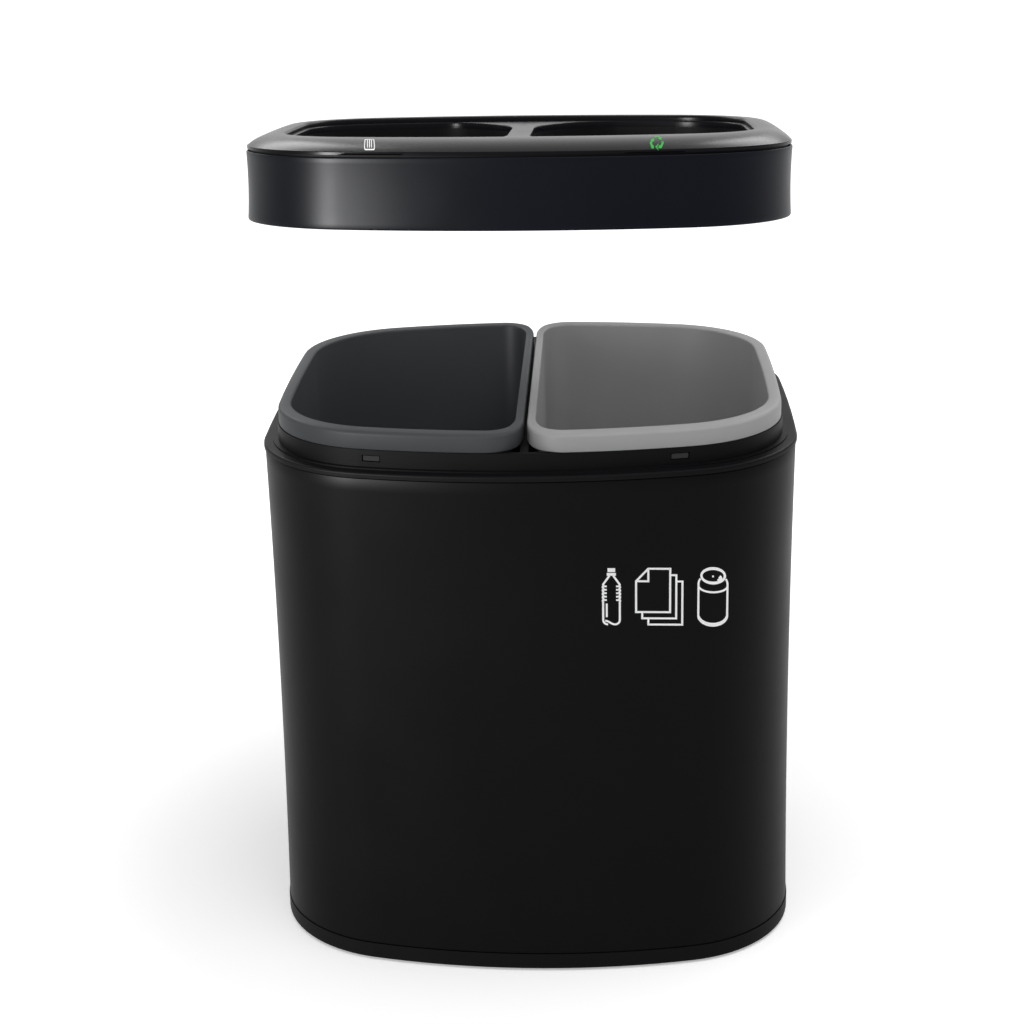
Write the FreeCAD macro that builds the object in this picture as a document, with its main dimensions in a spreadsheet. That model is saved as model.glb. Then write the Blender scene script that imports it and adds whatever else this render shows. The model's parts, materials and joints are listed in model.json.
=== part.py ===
"""Double recycling bin: an outer can with two lift-out buckets and a lift-off lid ring.

Lengths are millimetres. The bin stands on z = 0 with its origin under its centre,
X across the two buckets and -Y towards the front. Every outline is a closed chain of
tangent arcs: shallow front, back and side arcs joined by tight corner arcs.
"""
import FreeCAD, Part
import math
import os

import Sketcher
from FreeCAD import Placement, Rotation, Vector

DIMENSIONS = {
    # plan of the outer can, measured on its ledge and on the lid band
    "half_width": 130.0,
    "half_depth": 122.0,
    "front_radius": 335.0,
    "side_radius": 1750.0,
    "corner_radius": 66.0,
    # outer shell: sheet steel drawn in slightly at mid height
    "sheet_thickness": 0.8,
    "shell_inset": 0.6,
    "shell_waist": 1.1,
    "hem_height": 6.0,
    # base pan with its visible ring, feet, screw bosses
    "foot_drop": 1.0,
    "foot_radius": 10.0,
    "foot_seat_depth": 1.5,
    "foot_side_inset": 46.0,
    "foot_front_inset": 44.0,
    "base_ring_top": 9.2,
    "base_ring_inset": 0.2,
    "pan_floor": 3.6,
    "spigot_top": 20.0,
    "spigot_wall": 1.8,
    "pan_rib_x": 60.0,
    "pan_rib_y": 62.0,
    "pan_rib_height": 3.0,
    "pan_rib_wall": 1.6,
    "pan_rib_side_gap": 20.0,
    "pan_rib_front_gap": 32.0,
    "boss_inset": 10.5,
    "boss_front_inset": 77.0,
    "boss_radius": 5.5,
    "bracket_level": 22.0,
    "bracket_sheet": 1.5,
    "bracket_width": 16.0,
    "bracket_height": 17.0,
    "bracket_reach": 14.0,
    "bracket_gap": 1.4,
    "screw_radius": 2.0,
    "screw_head_radius": 3.9,
    "screw_head_height": 2.6,
    "screw_head_sunk": 0.55,
    # collar that closes the shell and carries the buckets
    "ledge_top": 254.0,
    "flange_thickness": 2.6,
    "wall_side_inset": 7.0,
    "wall_front_inset": 8.0,
    "wall_thickness": 2.5,
    "wall_height": 8.7,
    "skirt_depth": 15.0,
    "crossbar_width": 3.8,
    "slot_side_inset": 57.0,
    "slot_width": 8.9,
    "slot_height": 3.2,
    "slot_rise": 4.6,
    "blade_width": 14.0,
    "blade_height": 12.0,
    "blade_thickness": 0.8,
    # buckets
    "bucket_bottom": 27.0,
    "bucket_rim_rise": 17.5,
    "bucket_rim_inset": 7.8,
    "rim_skirt_wall": 1.8,
    "rim_top_thickness": 2.0,
    "rim_side_width": 6.1,
    "rim_front_width": 8.9,
    "rim_middle_width": 4.0,
    "bucket_wall": 2.0,
    "bucket_draft": 6.0,
    "half_gap": 0.75,
    "inner_corner_near": 45.0,
    "inner_corner_tight": 15.5,
    "inner_corner_inset": 33.6,
    "seat_clearance": 0.1,
    # lid ring
    "band_height": 32.6,
    "band_dish": 0.5,
    "lid_groove": 1.0,
    "lip_height": 1.6,
    "lip_inset": 0.4,
    "frame_rise": 5.0,
    "shoulder_rise": 2.8,
    "shoulder_share": 0.35,
    "frame_wall": 2.0,
    "frame_side": 17.3,
    "frame_front": 34.0,
    "opening_corner": 43.6,
    "opening_step": 3.3,
    "opening_ledge": 1.4,
    "bridge_half_width": 5.6,
    "bridge_near_radius": 60.0,
    "bridge_tight_radius": 22.0,
    "bridge_corner_inset": 58.0,
    "carrier_inset": 1.9,
    "carrier_wall": 1.9,
    "nub_reach": 2.1,
    "nub_height": 2.8,
    "nub_width": 7.5,
    "chute_wall": 1.6,
    "chute_bottom": 20.0,
    "lid_screw_x": 60.0,
    "lid_screw_inset": 19.0,
    "lid_screw_radius": 1.4,
    "lid_screw_head": 3.0,
    "lid_boss_radius": 3.6,
    "lid_seat_clearance": 0.2,
    # the lid ring is stored as it is shown, lifted off and tipped front edge up
    "lid_shift_x": -3.7,
    "lid_shift_y": 14.5,
    "lid_lift": 99.9,
    "lid_tip": 4.8,
    "lid_lean": 0.63,
}

document = FreeCAD.newDocument("double_recycling_bin")
sheet = document.addObject("Spreadsheet::Sheet", "Dimensions")
for row, (alias, number) in enumerate(DIMENSIONS.items(), start=1):
    sheet.set(f"A{row}", alias)
    sheet.set(f"B{row}", str(number))
    sheet.setAlias(f"B{row}", alias)
document.recompute()


class Size:
    """A length together with the spreadsheet expression that gives it."""

    def __init__(self, text, value):
        self.text = text
        self.value = value

    def __add__(self, other):
        other = as_size(other)
        return Size(f"({self.text} + {other.text})", self.value + other.value)

    def __sub__(self, other):
        other = as_size(other)
        return Size(f"({self.text} - {other.text})", self.value - other.value)

    def __mul__(self, other):
        other = as_size(other)
        return Size(f"({self.text} * {other.text})", self.value * other.value)

    def __truediv__(self, other):
        other = as_size(other)
        return Size(f"({self.text} / {other.text})", self.value / other.value)

    def __neg__(self):
        return Size(f"(0 - {self.text})", -self.value)


def as_size(length):
    """Take a plain number or a Size as a Size."""
    if isinstance(length, Size):
        return length
    return Size(repr(float(length)), float(length))


def dim(alias):
    """One driving dimension from the spreadsheet."""
    return Size(f"Dimensions.{alias}", float(sheet.get(alias)))


def bind(thing, attribute, length):
    """Bind one property of an object to the spreadsheet."""
    thing.setExpression(attribute, as_size(length).text)


# places that follow from the sizes
foot_x = dim("half_width") - dim("foot_side_inset")
foot_y = dim("half_depth") - dim("foot_front_inset")
boss_x = dim("half_width") - dim("boss_inset")
boss_y = dim("half_depth") - dim("boss_front_inset")
slot_x = dim("half_width") - dim("slot_side_inset")
slot_level = dim("ledge_top") + dim("slot_rise")
bucket_rim_top = dim("ledge_top") + dim("bucket_rim_rise")
inner_corner_y = dim("half_depth") - dim("inner_corner_inset")
opening_half_width = dim("half_width") - dim("frame_side")
opening_half_depth = dim("half_depth") - dim("frame_front")
bridge_near_y = opening_half_depth - dim("bridge_corner_inset")

# ---------------------------------------------------------------- outlines


class Outline:
    """Sizes of a closed outline: half width, half depth and its three radii."""

    def __init__(self, half_x, half_y, front, side, corner):
        self.half_x = half_x
        self.half_y = half_y
        self.front = front
        self.side = side
        self.corner = corner


class HalfOutline(Outline):
    """The right-hand half of an outline, closed by a straight edge beside the middle.

    The edge runs into the front and back arcs through a wide arc and a tight one.
    """

    def __init__(self, outline, edge_x, near, tight, near_y, turn=0):
        super().__init__(outline.half_x, outline.half_y, outline.front,
                         outline.side, outline.corner)
        self.turn = turn
        self.edge_x = edge_x
        self.near = near
        self.tight = tight
        self.near_y = near_y


def can_outline(side_inset, front_inset=None):
    """The can's plan drawn in by one inset at the sides and one at front and back."""
    side_inset = as_size(side_inset)
    front_inset = side_inset if front_inset is None else as_size(front_inset)
    return Outline(dim("half_width") - side_inset,
                   dim("half_depth") - front_inset,
                   dim("front_radius") - front_inset,
                   dim("side_radius") - side_inset,
                   dim("corner_radius") - side_inset)


def circles_meet(centre_a, reach_a, centre_b, reach_b, towards):
    """The point at given distances from two centres, on the side that is asked for."""
    span = centre_b - centre_a
    along = (reach_a ** 2 - reach_b ** 2 + span.Length ** 2) / (2 * span.Length)
    across = math.sqrt(reach_a ** 2 - along ** 2)
    unit = span.normalize()
    normal = Vector(-unit.y, unit.x, 0)
    foot = centre_a + unit * along
    choices = [foot + normal * across, foot - normal * across]
    return min(choices, key=lambda point: point.distanceToPoint(towards))


def touch_point(centre_big, radius_big, centre_small):
    """Where a small circle touches the inside of a big one."""
    direction = (centre_small - centre_big).normalize()
    return centre_big + direction * radius_big


def arc_between(centre, radius, start, end):
    """A counter-clockwise arc from start to end."""
    circle = Part.Circle(centre, Vector(0, 0, 1), radius)
    first = math.atan2(start.y - centre.y, start.x - centre.x)
    last = math.atan2(end.y - centre.y, end.x - centre.x)
    if last < first:
        last += 2 * math.pi
    return Part.ArcOfCircle(circle, first, last)


def datum(sketch, constraint, length):
    """Add one driving dimension to a sketch and bind it."""
    index = sketch.addConstraint(constraint)
    bind(sketch, f"Constraints[{index}]", length)


def draw_outline(sketch, outline):
    """Draw the closed outline of eight tangent arcs and tie it down."""
    front = outline.front.value
    side = outline.side.value
    corner = outline.corner.value
    front_offset = outline.front - outline.half_y
    side_offset = outline.side - outline.half_x
    centre_front = Vector(0, front_offset.value, 0)
    centre_back = Vector(0, -front_offset.value, 0)
    centre_right = Vector(-side_offset.value, 0, 0)
    centre_left = Vector(side_offset.value, 0, 0)
    around = [(centre_front, front), (centre_right, side),
              (centre_back, front), (centre_left, side)]
    towards = [Vector(1, -1, 0), Vector(1, 1, 0), Vector(-1, 1, 0), Vector(-1, -1, 0)]
    corners = []
    for place in range(4):
        centre_a, radius_a = around[place]
        centre_b, radius_b = around[(place + 1) % 4]
        wanted = Vector(towards[place].x * outline.half_x.value,
                        towards[place].y * outline.half_y.value, 0)
        corners.append(circles_meet(Vector(centre_a), radius_a - corner,
                                    Vector(centre_b), radius_b - corner, wanted))
    first = sketch.GeometryCount
    for place in range(4):
        centre, radius = around[place]
        start = touch_point(centre, radius, corners[place - 1])
        end = touch_point(centre, radius, corners[place])
        sketch.addGeometry(arc_between(centre, radius, start, end), False)
        next_centre, next_radius = around[(place + 1) % 4]
        corner_end = touch_point(next_centre, next_radius, corners[place])
        sketch.addGeometry(arc_between(corners[place], corner, end, corner_end), False)
    for place in range(8):
        following = first + (place + 1) % 8
        sketch.addConstraint(Sketcher.Constraint("Tangent", first + place, 2, following, 1))
    sketch.addConstraint(Sketcher.Constraint("Equal", first, first + 4))
    sketch.addConstraint(Sketcher.Constraint("Equal", first + 2, first + 6))
    for place in (3, 5, 7):
        sketch.addConstraint(Sketcher.Constraint("Equal", first + 1, first + place))
    for place in (0, 4):
        sketch.addConstraint(Sketcher.Constraint("PointOnObject", first + place, 3, -2))
    for place in (2, 6):
        sketch.addConstraint(Sketcher.Constraint("PointOnObject", first + place, 3, -1))
    datum(sketch, Sketcher.Constraint("Radius", first, front), outline.front)
    datum(sketch, Sketcher.Constraint("Radius", first + 1, corner), outline.corner)
    datum(sketch, Sketcher.Constraint("Radius", first + 2, side), outline.side)
    datum(sketch, Sketcher.Constraint("DistanceY", -1, 1, first, 3, front_offset.value),
          front_offset)
    datum(sketch, Sketcher.Constraint("DistanceY", first + 4, 3, -1, 1, front_offset.value),
          front_offset)
    datum(sketch, Sketcher.Constraint("DistanceX", first + 2, 3, -1, 1, side_offset.value),
          side_offset)
    datum(sketch, Sketcher.Constraint("DistanceX", -1, 1, first + 6, 3, side_offset.value),
          side_offset)


def draw_half_outline(sketch, half):
    """Draw the right-hand half outline, ten pieces, and tie it down."""
    front = half.front.value
    side = half.side.value
    corner = half.corner.value
    near = half.near.value
    tight = half.tight.value
    edge = half.edge_x.value
    front_offset = half.front - half.half_y
    side_offset = half.side - half.half_x
    centre_front = Vector(0, front_offset.value, 0)
    centre_back = Vector(0, -front_offset.value, 0)
    centre_side = Vector(-side_offset.value, 0, 0)
    far = Vector(half.half_x.value, half.half_y.value, 0)
    front_corner = circles_meet(Vector(centre_front), front - corner,
                                Vector(centre_side), side - corner, Vector(far.x, -far.y, 0))
    back_corner = Vector(front_corner.x, -front_corner.y, 0)
    near_front = Vector(edge + near, -half.near_y.value, 0)
    near_back = Vector(edge + near, half.near_y.value, 0)
    tight_front = circles_meet(Vector(centre_front), front - tight,
                               Vector(near_front), near - tight, Vector(edge, -far.y, 0))
    tight_back = Vector(tight_front.x, -tight_front.y, 0)
    chain = [(centre_front, front, tight_front, front_corner),
             (centre_side, side, front_corner, back_corner),
             (centre_back, front, back_corner, tight_back)]
    edge_back = Vector(edge, half.near_y.value, 0)
    edge_front = Vector(edge, -half.near_y.value, 0)
    front_start = touch_point(centre_front, front, tight_front)
    front_end = touch_point(centre_front, front, front_corner)
    side_start = touch_point(centre_side, side, front_corner)
    side_end = touch_point(centre_side, side, back_corner)
    back_start = touch_point(centre_back, front, back_corner)
    back_end = touch_point(centre_back, front, tight_back)
    blend_back = touch_point(near_back, near, tight_back)
    blend_front = touch_point(near_front, near, tight_front)
    first = sketch.GeometryCount
    pieces = [arc_between(centre_front, front, front_start, front_end),
              arc_between(front_corner, corner, front_end, side_start),
              arc_between(centre_side, side, side_start, side_end),
              arc_between(back_corner, corner, side_end, back_start),
              arc_between(centre_back, front, back_start, back_end),
              arc_between(tight_back, tight, back_end, blend_back),
              arc_between(near_back, near, blend_back, edge_back),
              Part.LineSegment(edge_back, edge_front),
              arc_between(near_front, near, edge_front, blend_front),
              arc_between(tight_front, tight, blend_front, front_start)]
    for piece in pieces:
        sketch.addGeometry(piece, False)
    count = len(pieces)
    for place in range(count):
        following = first + (place + 1) % count
        sketch.addConstraint(Sketcher.Constraint("Tangent", first + place, 2, following, 1))
    for one, other in ((0, 4), (1, 3), (5, 9), (6, 8)):
        sketch.addConstraint(Sketcher.Constraint("Equal", first + one, first + other))
    for place in (0, 4):
        sketch.addConstraint(Sketcher.Constraint("PointOnObject", first + place, 3, -2))
    sketch.addConstraint(Sketcher.Constraint("PointOnObject", first + 2, 3, -1))
    sketch.addConstraint(Sketcher.Constraint("Vertical", first + 7))
    datum(sketch, Sketcher.Constraint("Radius", first, front), half.front)
    datum(sketch, Sketcher.Constraint("Radius", first + 1, corner), half.corner)
    datum(sketch, Sketcher.Constraint("Radius", first + 2, side), half.side)
    datum(sketch, Sketcher.Constraint("Radius", first + 5, tight), half.tight)
    datum(sketch, Sketcher.Constraint("Radius", first + 6, near), half.near)
    datum(sketch, Sketcher.Constraint("DistanceY", -1, 1, first, 3, front_offset.value),
          front_offset)
    datum(sketch, Sketcher.Constraint("DistanceY", first + 4, 3, -1, 1, front_offset.value),
          front_offset)
    datum(sketch, Sketcher.Constraint("DistanceX", first + 2, 3, -1, 1, side_offset.value),
          side_offset)
    datum(sketch, Sketcher.Constraint("DistanceX", -1, 1, first + 7, 1, edge), half.edge_x)
    datum(sketch, Sketcher.Constraint("DistanceY", -1, 1, first + 6, 3, half.near_y.value),
          half.near_y)
    datum(sketch, Sketcher.Constraint("DistanceY", first + 8, 3, -1, 1, half.near_y.value),
          half.near_y)


# ---------------------------------------------------------------- features


def new_body(name):
    """An empty body whose label names the piece."""
    body = document.addObject("PartDesign::Body", name)
    body.Label = name
    return body


def new_sketch(body, level, *outlines):
    """A sketch at a level above the body's floor plane, holding one or more outlines."""
    sketch = body.newObject("Sketcher::SketchObject", f"{body.Name}_sketch")
    for feature in body.Origin.OriginFeatures:
        if feature.Role == "XY_Plane":
            sketch.AttachmentSupport = (feature, [""])
    sketch.MapMode = "FlatFace"
    turn = getattr(outlines[0], "turn", 0)
    sketch.AttachmentOffset = Placement(Vector(0, 0, 0), Rotation(Vector(0, 0, 1), turn))
    bind(sketch, "AttachmentOffset.Base.z", level)
    for outline in outlines:
        if isinstance(outline, HalfOutline):
            draw_half_outline(sketch, outline)
        else:
            draw_outline(sketch, outline)
    sketch.Visibility = False
    return sketch


def pad(body, bottom, top, *outlines):
    """Fill an outline, or the ring between two, from one level up to another."""
    feature = body.newObject("PartDesign::Pad", f"{body.Name}_pad")
    feature.Profile = new_sketch(body, bottom, *outlines)
    bind(feature, "Length", as_size(top) - bottom)
    document.recompute()
    return feature


def pocket(body, top, bottom, *outlines):
    """Cut an outline from one level down to another."""
    feature = body.newObject("PartDesign::Pocket", f"{body.Name}_pocket")
    feature.Profile = new_sketch(body, top, *outlines)
    bind(feature, "Length", as_size(top) - bottom)
    document.recompute()
    return feature


def loft(body, kind, *sections):
    """Add or cut a skin through outlines at several levels."""
    sketches = [new_sketch(body, level, outline) for level, outline in sections]
    feature = body.newObject(f"PartDesign::{kind}Loft", f"{body.Name}_loft")
    feature.Profile = sketches[0]
    feature.Sections = sketches[1:]
    feature.Ruled = len(sections) == 2
    document.recompute()
    return feature


def block(body, kind, size, middle, turn=0.0):
    """Add or cut a block, given its size, the middle of its foot and a turn about Z."""
    feature = body.newObject(f"PartDesign::{kind}Box", f"{body.Name}_block")
    for attribute, length in zip(("Length", "Width", "Height"), size):
        bind(feature, attribute, length)
    length, width = as_size(size[0]), as_size(size[1])
    cosine = math.cos(math.radians(turn))
    sine = math.sin(math.radians(turn))
    corner_x = as_size(middle[0]) - length * (cosine / 2) + width * (sine / 2)
    corner_y = as_size(middle[1]) - length * (sine / 2) - width * (cosine / 2)
    feature.Placement = Placement(Vector(0, 0, 0), Rotation(Vector(0, 0, 1), turn))
    bind(feature, "Placement.Base.x", corner_x)
    bind(feature, "Placement.Base.y", corner_y)
    bind(feature, "Placement.Base.z", middle[2])
    document.recompute()
    return feature


def rod(body, kind, radius, height, foot):
    """Add or cut an upright cylinder, given the middle of its foot."""
    feature = body.newObject(f"PartDesign::{kind}Cylinder", f"{body.Name}_rod")
    bind(feature, "Radius", radius)
    bind(feature, "Height", height)
    for axis, length in zip("xyz", foot):
        bind(feature, f"Placement.Base.{axis}", length)
    document.recompute()
    return feature


def fillet(body, radius, wanted):
    """Round the edges of the body's last feature that a test picks out."""
    base = body.Tip
    names = [f"Edge{number}" for number, edge in enumerate(base.Shape.Edges, start=1)
             if wanted(edge)]
    feature = body.newObject("PartDesign::Fillet", f"{body.Name}_fillet")
    feature.Base = (base, names)
    bind(feature, "Radius", radius)
    document.recompute()
    return feature


def at_level(level, also=None):
    """A test for edges that lie at a level and, where it is given, pass another test."""
    height = as_size(level).value

    def test(edge):
        box = edge.BoundBox
        if abs(box.ZMin - height) > 0.01 or abs(box.ZMax - height) > 0.01:
            return False
        return also is None or also(edge)

    return test


CORNERS = {
    "front_left": (-1, -1),
    "front_right": (1, -1),
    "rear_left": (-1, 1),
    "rear_right": (1, 1),
}

# ---------------------------------------------------------------- outer shell

shell_top = dim("ledge_top") - dim("flange_thickness") - 0.4
shell_bottom = dim("base_ring_top") + 0.1
shell_middle = (shell_top + shell_bottom) / 2
shell_inside = dim("shell_inset") + dim("sheet_thickness")

outer_shell = new_body("outer_shell")
loft(outer_shell, "Additive",
     (shell_bottom, can_outline(dim("shell_inset"))),
     (shell_middle, can_outline(dim("shell_inset") + dim("shell_waist"))),
     (shell_top, can_outline(dim("shell_inset"))))
loft(outer_shell, "Subtractive",
     (shell_bottom, can_outline(shell_inside)),
     (shell_middle, can_outline(shell_inside + dim("shell_waist"))),
     (shell_top, can_outline(shell_inside)))
# folded hem inside the top edge
pad(outer_shell, shell_top - dim("hem_height"), shell_top,
    can_outline(dim("shell_inset") + dim("sheet_thickness") * 0.6),
    can_outline(shell_inside + dim("sheet_thickness")))

# ---------------------------------------------------------------- base pan and feet

pan_bottom = dim("foot_drop")
spigot_inset = shell_inside + 0.3
floor_inset = spigot_inset + dim("spigot_wall")

base_pan = new_body("base_pan")
pad(base_pan, pan_bottom, dim("base_ring_top"), can_outline(dim("base_ring_inset")))
pad(base_pan, dim("base_ring_top"), dim("spigot_top"), can_outline(spigot_inset))
pocket(base_pan, dim("spigot_top"), dim("pan_floor"), can_outline(floor_inset))
fillet(base_pan, 1.2, at_level(pan_bottom))
boss_top = dim("bracket_level") - 0.05
# stiffening ribs on the pan's floor
rib_length = (dim("half_width") - dim("pan_rib_side_gap")) * 2
rib_depth = (dim("half_depth") - dim("pan_rib_front_gap")) * 2
for side in (-1, 0, 1):
    block(base_pan, "Additive", (rib_length, dim("pan_rib_wall"), dim("pan_rib_height")),
          (0, dim("pan_rib_y") * side, dim("pan_floor")))
for side in (-1, 1):
    block(base_pan, "Additive", (dim("pan_rib_wall"), rib_depth, dim("pan_rib_height")),
          (dim("pan_rib_x") * side, 0, dim("pan_floor")))
head_top = dim("screw_head_sunk") + dim("screw_head_height")
for sign_x, sign_y in CORNERS.values():
    place = (boss_x * sign_x, boss_y * sign_y, dim("pan_floor") - 1)
    rod(base_pan, "Additive", dim("boss_radius"), boss_top - dim("pan_floor") + 1, place)
    drill = (place[0], place[1], pan_bottom)
    rod(base_pan, "Subtractive", dim("screw_radius") + 0.25, boss_top, drill)
    rod(base_pan, "Subtractive", dim("screw_head_radius") + 0.7, head_top + 0.05, drill)
    seat = (foot_x * sign_x, foot_y * sign_y, pan_bottom)
    rod(base_pan, "Subtractive", dim("foot_radius") + 0.2, dim("foot_seat_depth"), seat)

feet = {}
for corner, (sign_x, sign_y) in CORNERS.items():
    foot = new_body(f"foot_{corner}")
    rod(foot, "Additive", dim("foot_radius"), dim("foot_drop") + dim("foot_seat_depth"),
        (foot_x * sign_x, foot_y * sign_y, 0))
    fillet(foot, 0.5, at_level(0))
    feet[corner] = foot

# ---------------------------------------------------------------- brackets and screws

bracket_outer = dim("half_width") - shell_inside - dim("bracket_gap")
brackets = {}
for corner, (sign_x, sign_y) in CORNERS.items():
    bracket = new_body(f"base_bracket_{corner}")
    level = dim("bracket_level")
    leg_x = (bracket_outer - dim("bracket_sheet") / 2) * sign_x
    leaf_x = (bracket_outer - dim("bracket_reach") / 2) * sign_x
    side_y = boss_y * sign_y
    leg = (dim("bracket_sheet"), dim("bracket_width"), dim("bracket_height"))
    leaf = (dim("bracket_reach"), dim("bracket_width"), dim("bracket_sheet"))
    block(bracket, "Additive", leg, (leg_x, side_y, level))
    block(bracket, "Additive", leaf, (leaf_x, side_y, level))
    rod(bracket, "Subtractive", dim("screw_radius") + 0.05, dim("bracket_sheet") + 2.5,
        (boss_x * sign_x, side_y, level - 1))
    brackets[corner] = bracket

screws = []
for sign_x, sign_y in CORNERS.values():
    screw_foot = (boss_x * sign_x, boss_y * sign_y)
    head = document.addObject("Part::Cylinder", "screw_head")
    bind(head, "Radius", dim("screw_head_radius"))
    bind(head, "Height", dim("screw_head_height"))
    shank = document.addObject("Part::Cylinder", "screw_shank")
    bind(shank, "Radius", dim("screw_radius"))
    head_level = pan_bottom + dim("screw_head_sunk")
    shank_level = pan_bottom + head_top - 0.15
    bind(shank, "Height", dim("bracket_level") + dim("bracket_sheet") + 2.5 - shank_level)
    for solid, foot_z in ((head, head_level), (shank, shank_level)):
        bind(solid, "Placement.Base.x", screw_foot[0])
        bind(solid, "Placement.Base.y", screw_foot[1])
        bind(solid, "Placement.Base.z", foot_z)
    screw = document.addObject("Part::Fuse", "screw")
    screw.Base = head
    screw.Tool = shank
    screws.append(screw)
base_screws = document.addObject("Part::Compound", "base_screws")
base_screws.Label = "base_screws"
base_screws.Links = screws

# ---------------------------------------------------------------- collar

ledge_bottom = dim("ledge_top") - dim("flange_thickness")
wall_top = dim("ledge_top") + dim("wall_height")
wall_outside = can_outline(dim("wall_side_inset"), dim("wall_front_inset"))
wall_inside = can_outline(dim("wall_side_inset") + dim("wall_thickness"),
                          dim("wall_front_inset") + dim("wall_thickness"))
skirt_inset = shell_inside + dim("sheet_thickness") + 0.4

collar = new_body("collar")
pad(collar, ledge_bottom, dim("ledge_top"), can_outline(0), wall_inside)
fillet(collar, 1.1, at_level(dim("ledge_top"),
                             lambda edge: edge.distToShape(Part.Vertex(0, 0, dim(
                                 "ledge_top").value))[0] > dim("half_depth").value - 4))
pad(collar, dim("ledge_top") - 0.5, wall_top, wall_outside, wall_inside)
pad(collar, ledge_bottom - dim("skirt_depth"), ledge_bottom,
    can_outline(skirt_inset), can_outline(skirt_inset + 1.8))
# raised step between the wall and the rounded outer edge
pad(collar, dim("ledge_top") - 0.5, dim("ledge_top") + 0.6,
    can_outline(dim("wall_side_inset") - 2.6, dim("wall_front_inset") - 2.6), wall_inside)
crossbar_half = dim("half_depth") - dim("wall_front_inset") - 1
block(collar, "Additive", (dim("crossbar_width"), crossbar_half * 2, wall_top - ledge_bottom),
      (0, 0, ledge_bottom))

# the wall's direction where the latch slots are
slot_turn = math.degrees(math.asin(slot_x.value / dim("front_radius").value))
arc_centre = dim("front_radius") - dim("half_depth")
inner_radius = dim("front_radius") - dim("wall_front_inset") - dim("wall_thickness")
slot_drop = math.cos(math.radians(slot_turn))
slot_shift = math.sin(math.radians(slot_turn))
springs = {}
for corner, (sign_x, sign_y) in CORNERS.items():
    level = slot_level - dim("slot_height") / 2
    middle_radius = inner_radius + dim("wall_thickness") / 2
    place = (middle_radius * slot_shift * sign_x,
             (middle_radius * slot_drop - arc_centre) * sign_y, level)
    turn = slot_turn * sign_x * -sign_y
    block(collar, "Subtractive", (dim("slot_width"), 8, dim("slot_height")), place, turn)
    spring = new_body(f"latch_spring_{corner}")
    blade_radius = inner_radius - dim("blade_thickness") / 2 - 0.15
    blade = (blade_radius * slot_shift * sign_x,
             (blade_radius * slot_drop - arc_centre) * sign_y, level - 5)
    block(spring, "Additive",
          (dim("blade_width"), dim("blade_thickness"), dim("blade_height")), blade, turn)
    tongue_radius = inner_radius + dim("wall_thickness") / 2 - 0.3
    tongue = (tongue_radius * slot_shift * sign_x,
              (tongue_radius * slot_drop - arc_centre) * sign_y, level + 0.4)
    block(spring, "Additive", (dim("slot_width") - 1, dim("wall_thickness") - 0.2,
                               dim("slot_height") - 0.8), tongue, turn)
    springs[corner] = spring

# ---------------------------------------------------------------- buckets

rim_outside = HalfOutline(can_outline(dim("bucket_rim_inset")), dim("half_gap"),
                          dim("inner_corner_near"), dim("inner_corner_tight"),
                          inner_corner_y)


def drawn_in(half, inset, front_inset=None, edge_inset=None):
    """A half outline drawn in all round, or by its own amounts at front and middle."""
    inset = as_size(inset)
    front_inset = inset if front_inset is None else as_size(front_inset)
    edge_inset = inset if edge_inset is None else as_size(edge_inset)
    base = Outline(half.half_x - inset, half.half_y - front_inset,
                   half.front - front_inset, half.side - inset, half.corner - inset)
    return HalfOutline(base, half.edge_x + edge_inset, half.near - edge_inset,
                       half.tight - edge_inset, half.near_y - (front_inset - edge_inset),
                       half.turn)


rim_bottom = wall_top + dim("seat_clearance")
rim_under = bucket_rim_top - dim("rim_top_thickness")
mouth = drawn_in(rim_outside, dim("rim_side_width"), dim("rim_front_width"),
                 dim("rim_middle_width"))
wall_outer_top = drawn_in(mouth, -dim("bucket_wall"))
wall_outer_low = drawn_in(wall_outer_top, dim("bucket_draft"))
mouth_low = drawn_in(mouth, dim("bucket_draft"))


def build_bucket(name, turn):
    """One lift-out bucket: open tub with a turned-over rim that sits on the collar."""
    bucket = new_body(name)
    pad(bucket, rim_bottom, bucket_rim_top, rim_outside)
    fillet(bucket, 1.4, at_level(bucket_rim_top))
    pocket(bucket, rim_under, rim_bottom, drawn_in(rim_outside, dim("rim_skirt_wall")))
    loft(bucket, "Additive",
         (dim("bucket_bottom"), wall_outer_low),
         (rim_under, wall_outer_top))
    fillet(bucket, 4.0, at_level(dim("bucket_bottom")))
    loft(bucket, "Subtractive",
         (dim("bucket_bottom") + dim("bucket_wall"), mouth_low),
         (bucket_rim_top, mouth))
    fillet(bucket, 0.7, at_level(bucket_rim_top, mouth_edge))
    bucket.Placement = Placement(Vector(0, 0, 0), Rotation(Vector(0, 0, 1), turn))
    return bucket


def mouth_edge(edge):
    """Whether an edge of the rim's top belongs to the mouth, not the outer edge."""
    middle = edge.valueAt((edge.FirstParameter + edge.LastParameter) / 2)
    within_y = mouth.half_y.value + 1
    within_x = mouth.half_x.value + 1
    beyond_x = mouth.edge_x.value - 1
    return abs(middle.y) < within_y and beyond_x < abs(middle.x) < within_x


right_bucket = build_bucket("right_bucket", 0)
left_bucket = build_bucket("left_bucket", 180)

# ---------------------------------------------------------------- lid ring

# levels in the lid's own frame, whose floor is the lower edge of the band
lip_bottom = dim("band_height") + dim("lid_groove")
lip_top = lip_bottom + dim("lip_height")
roll_top = lip_top + dim("frame_rise")
bridge_top = roll_top - dim("opening_step")
opening = Outline(opening_half_width, opening_half_depth,
                  dim("front_radius"), dim("side_radius"), dim("opening_corner"))


def grown(outline, margin):
    """An outline moved outwards by a margin."""
    margin = as_size(margin)
    return Outline(outline.half_x + margin, outline.half_y + margin,
                   outline.front + margin, outline.side + margin, outline.corner + margin)


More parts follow.
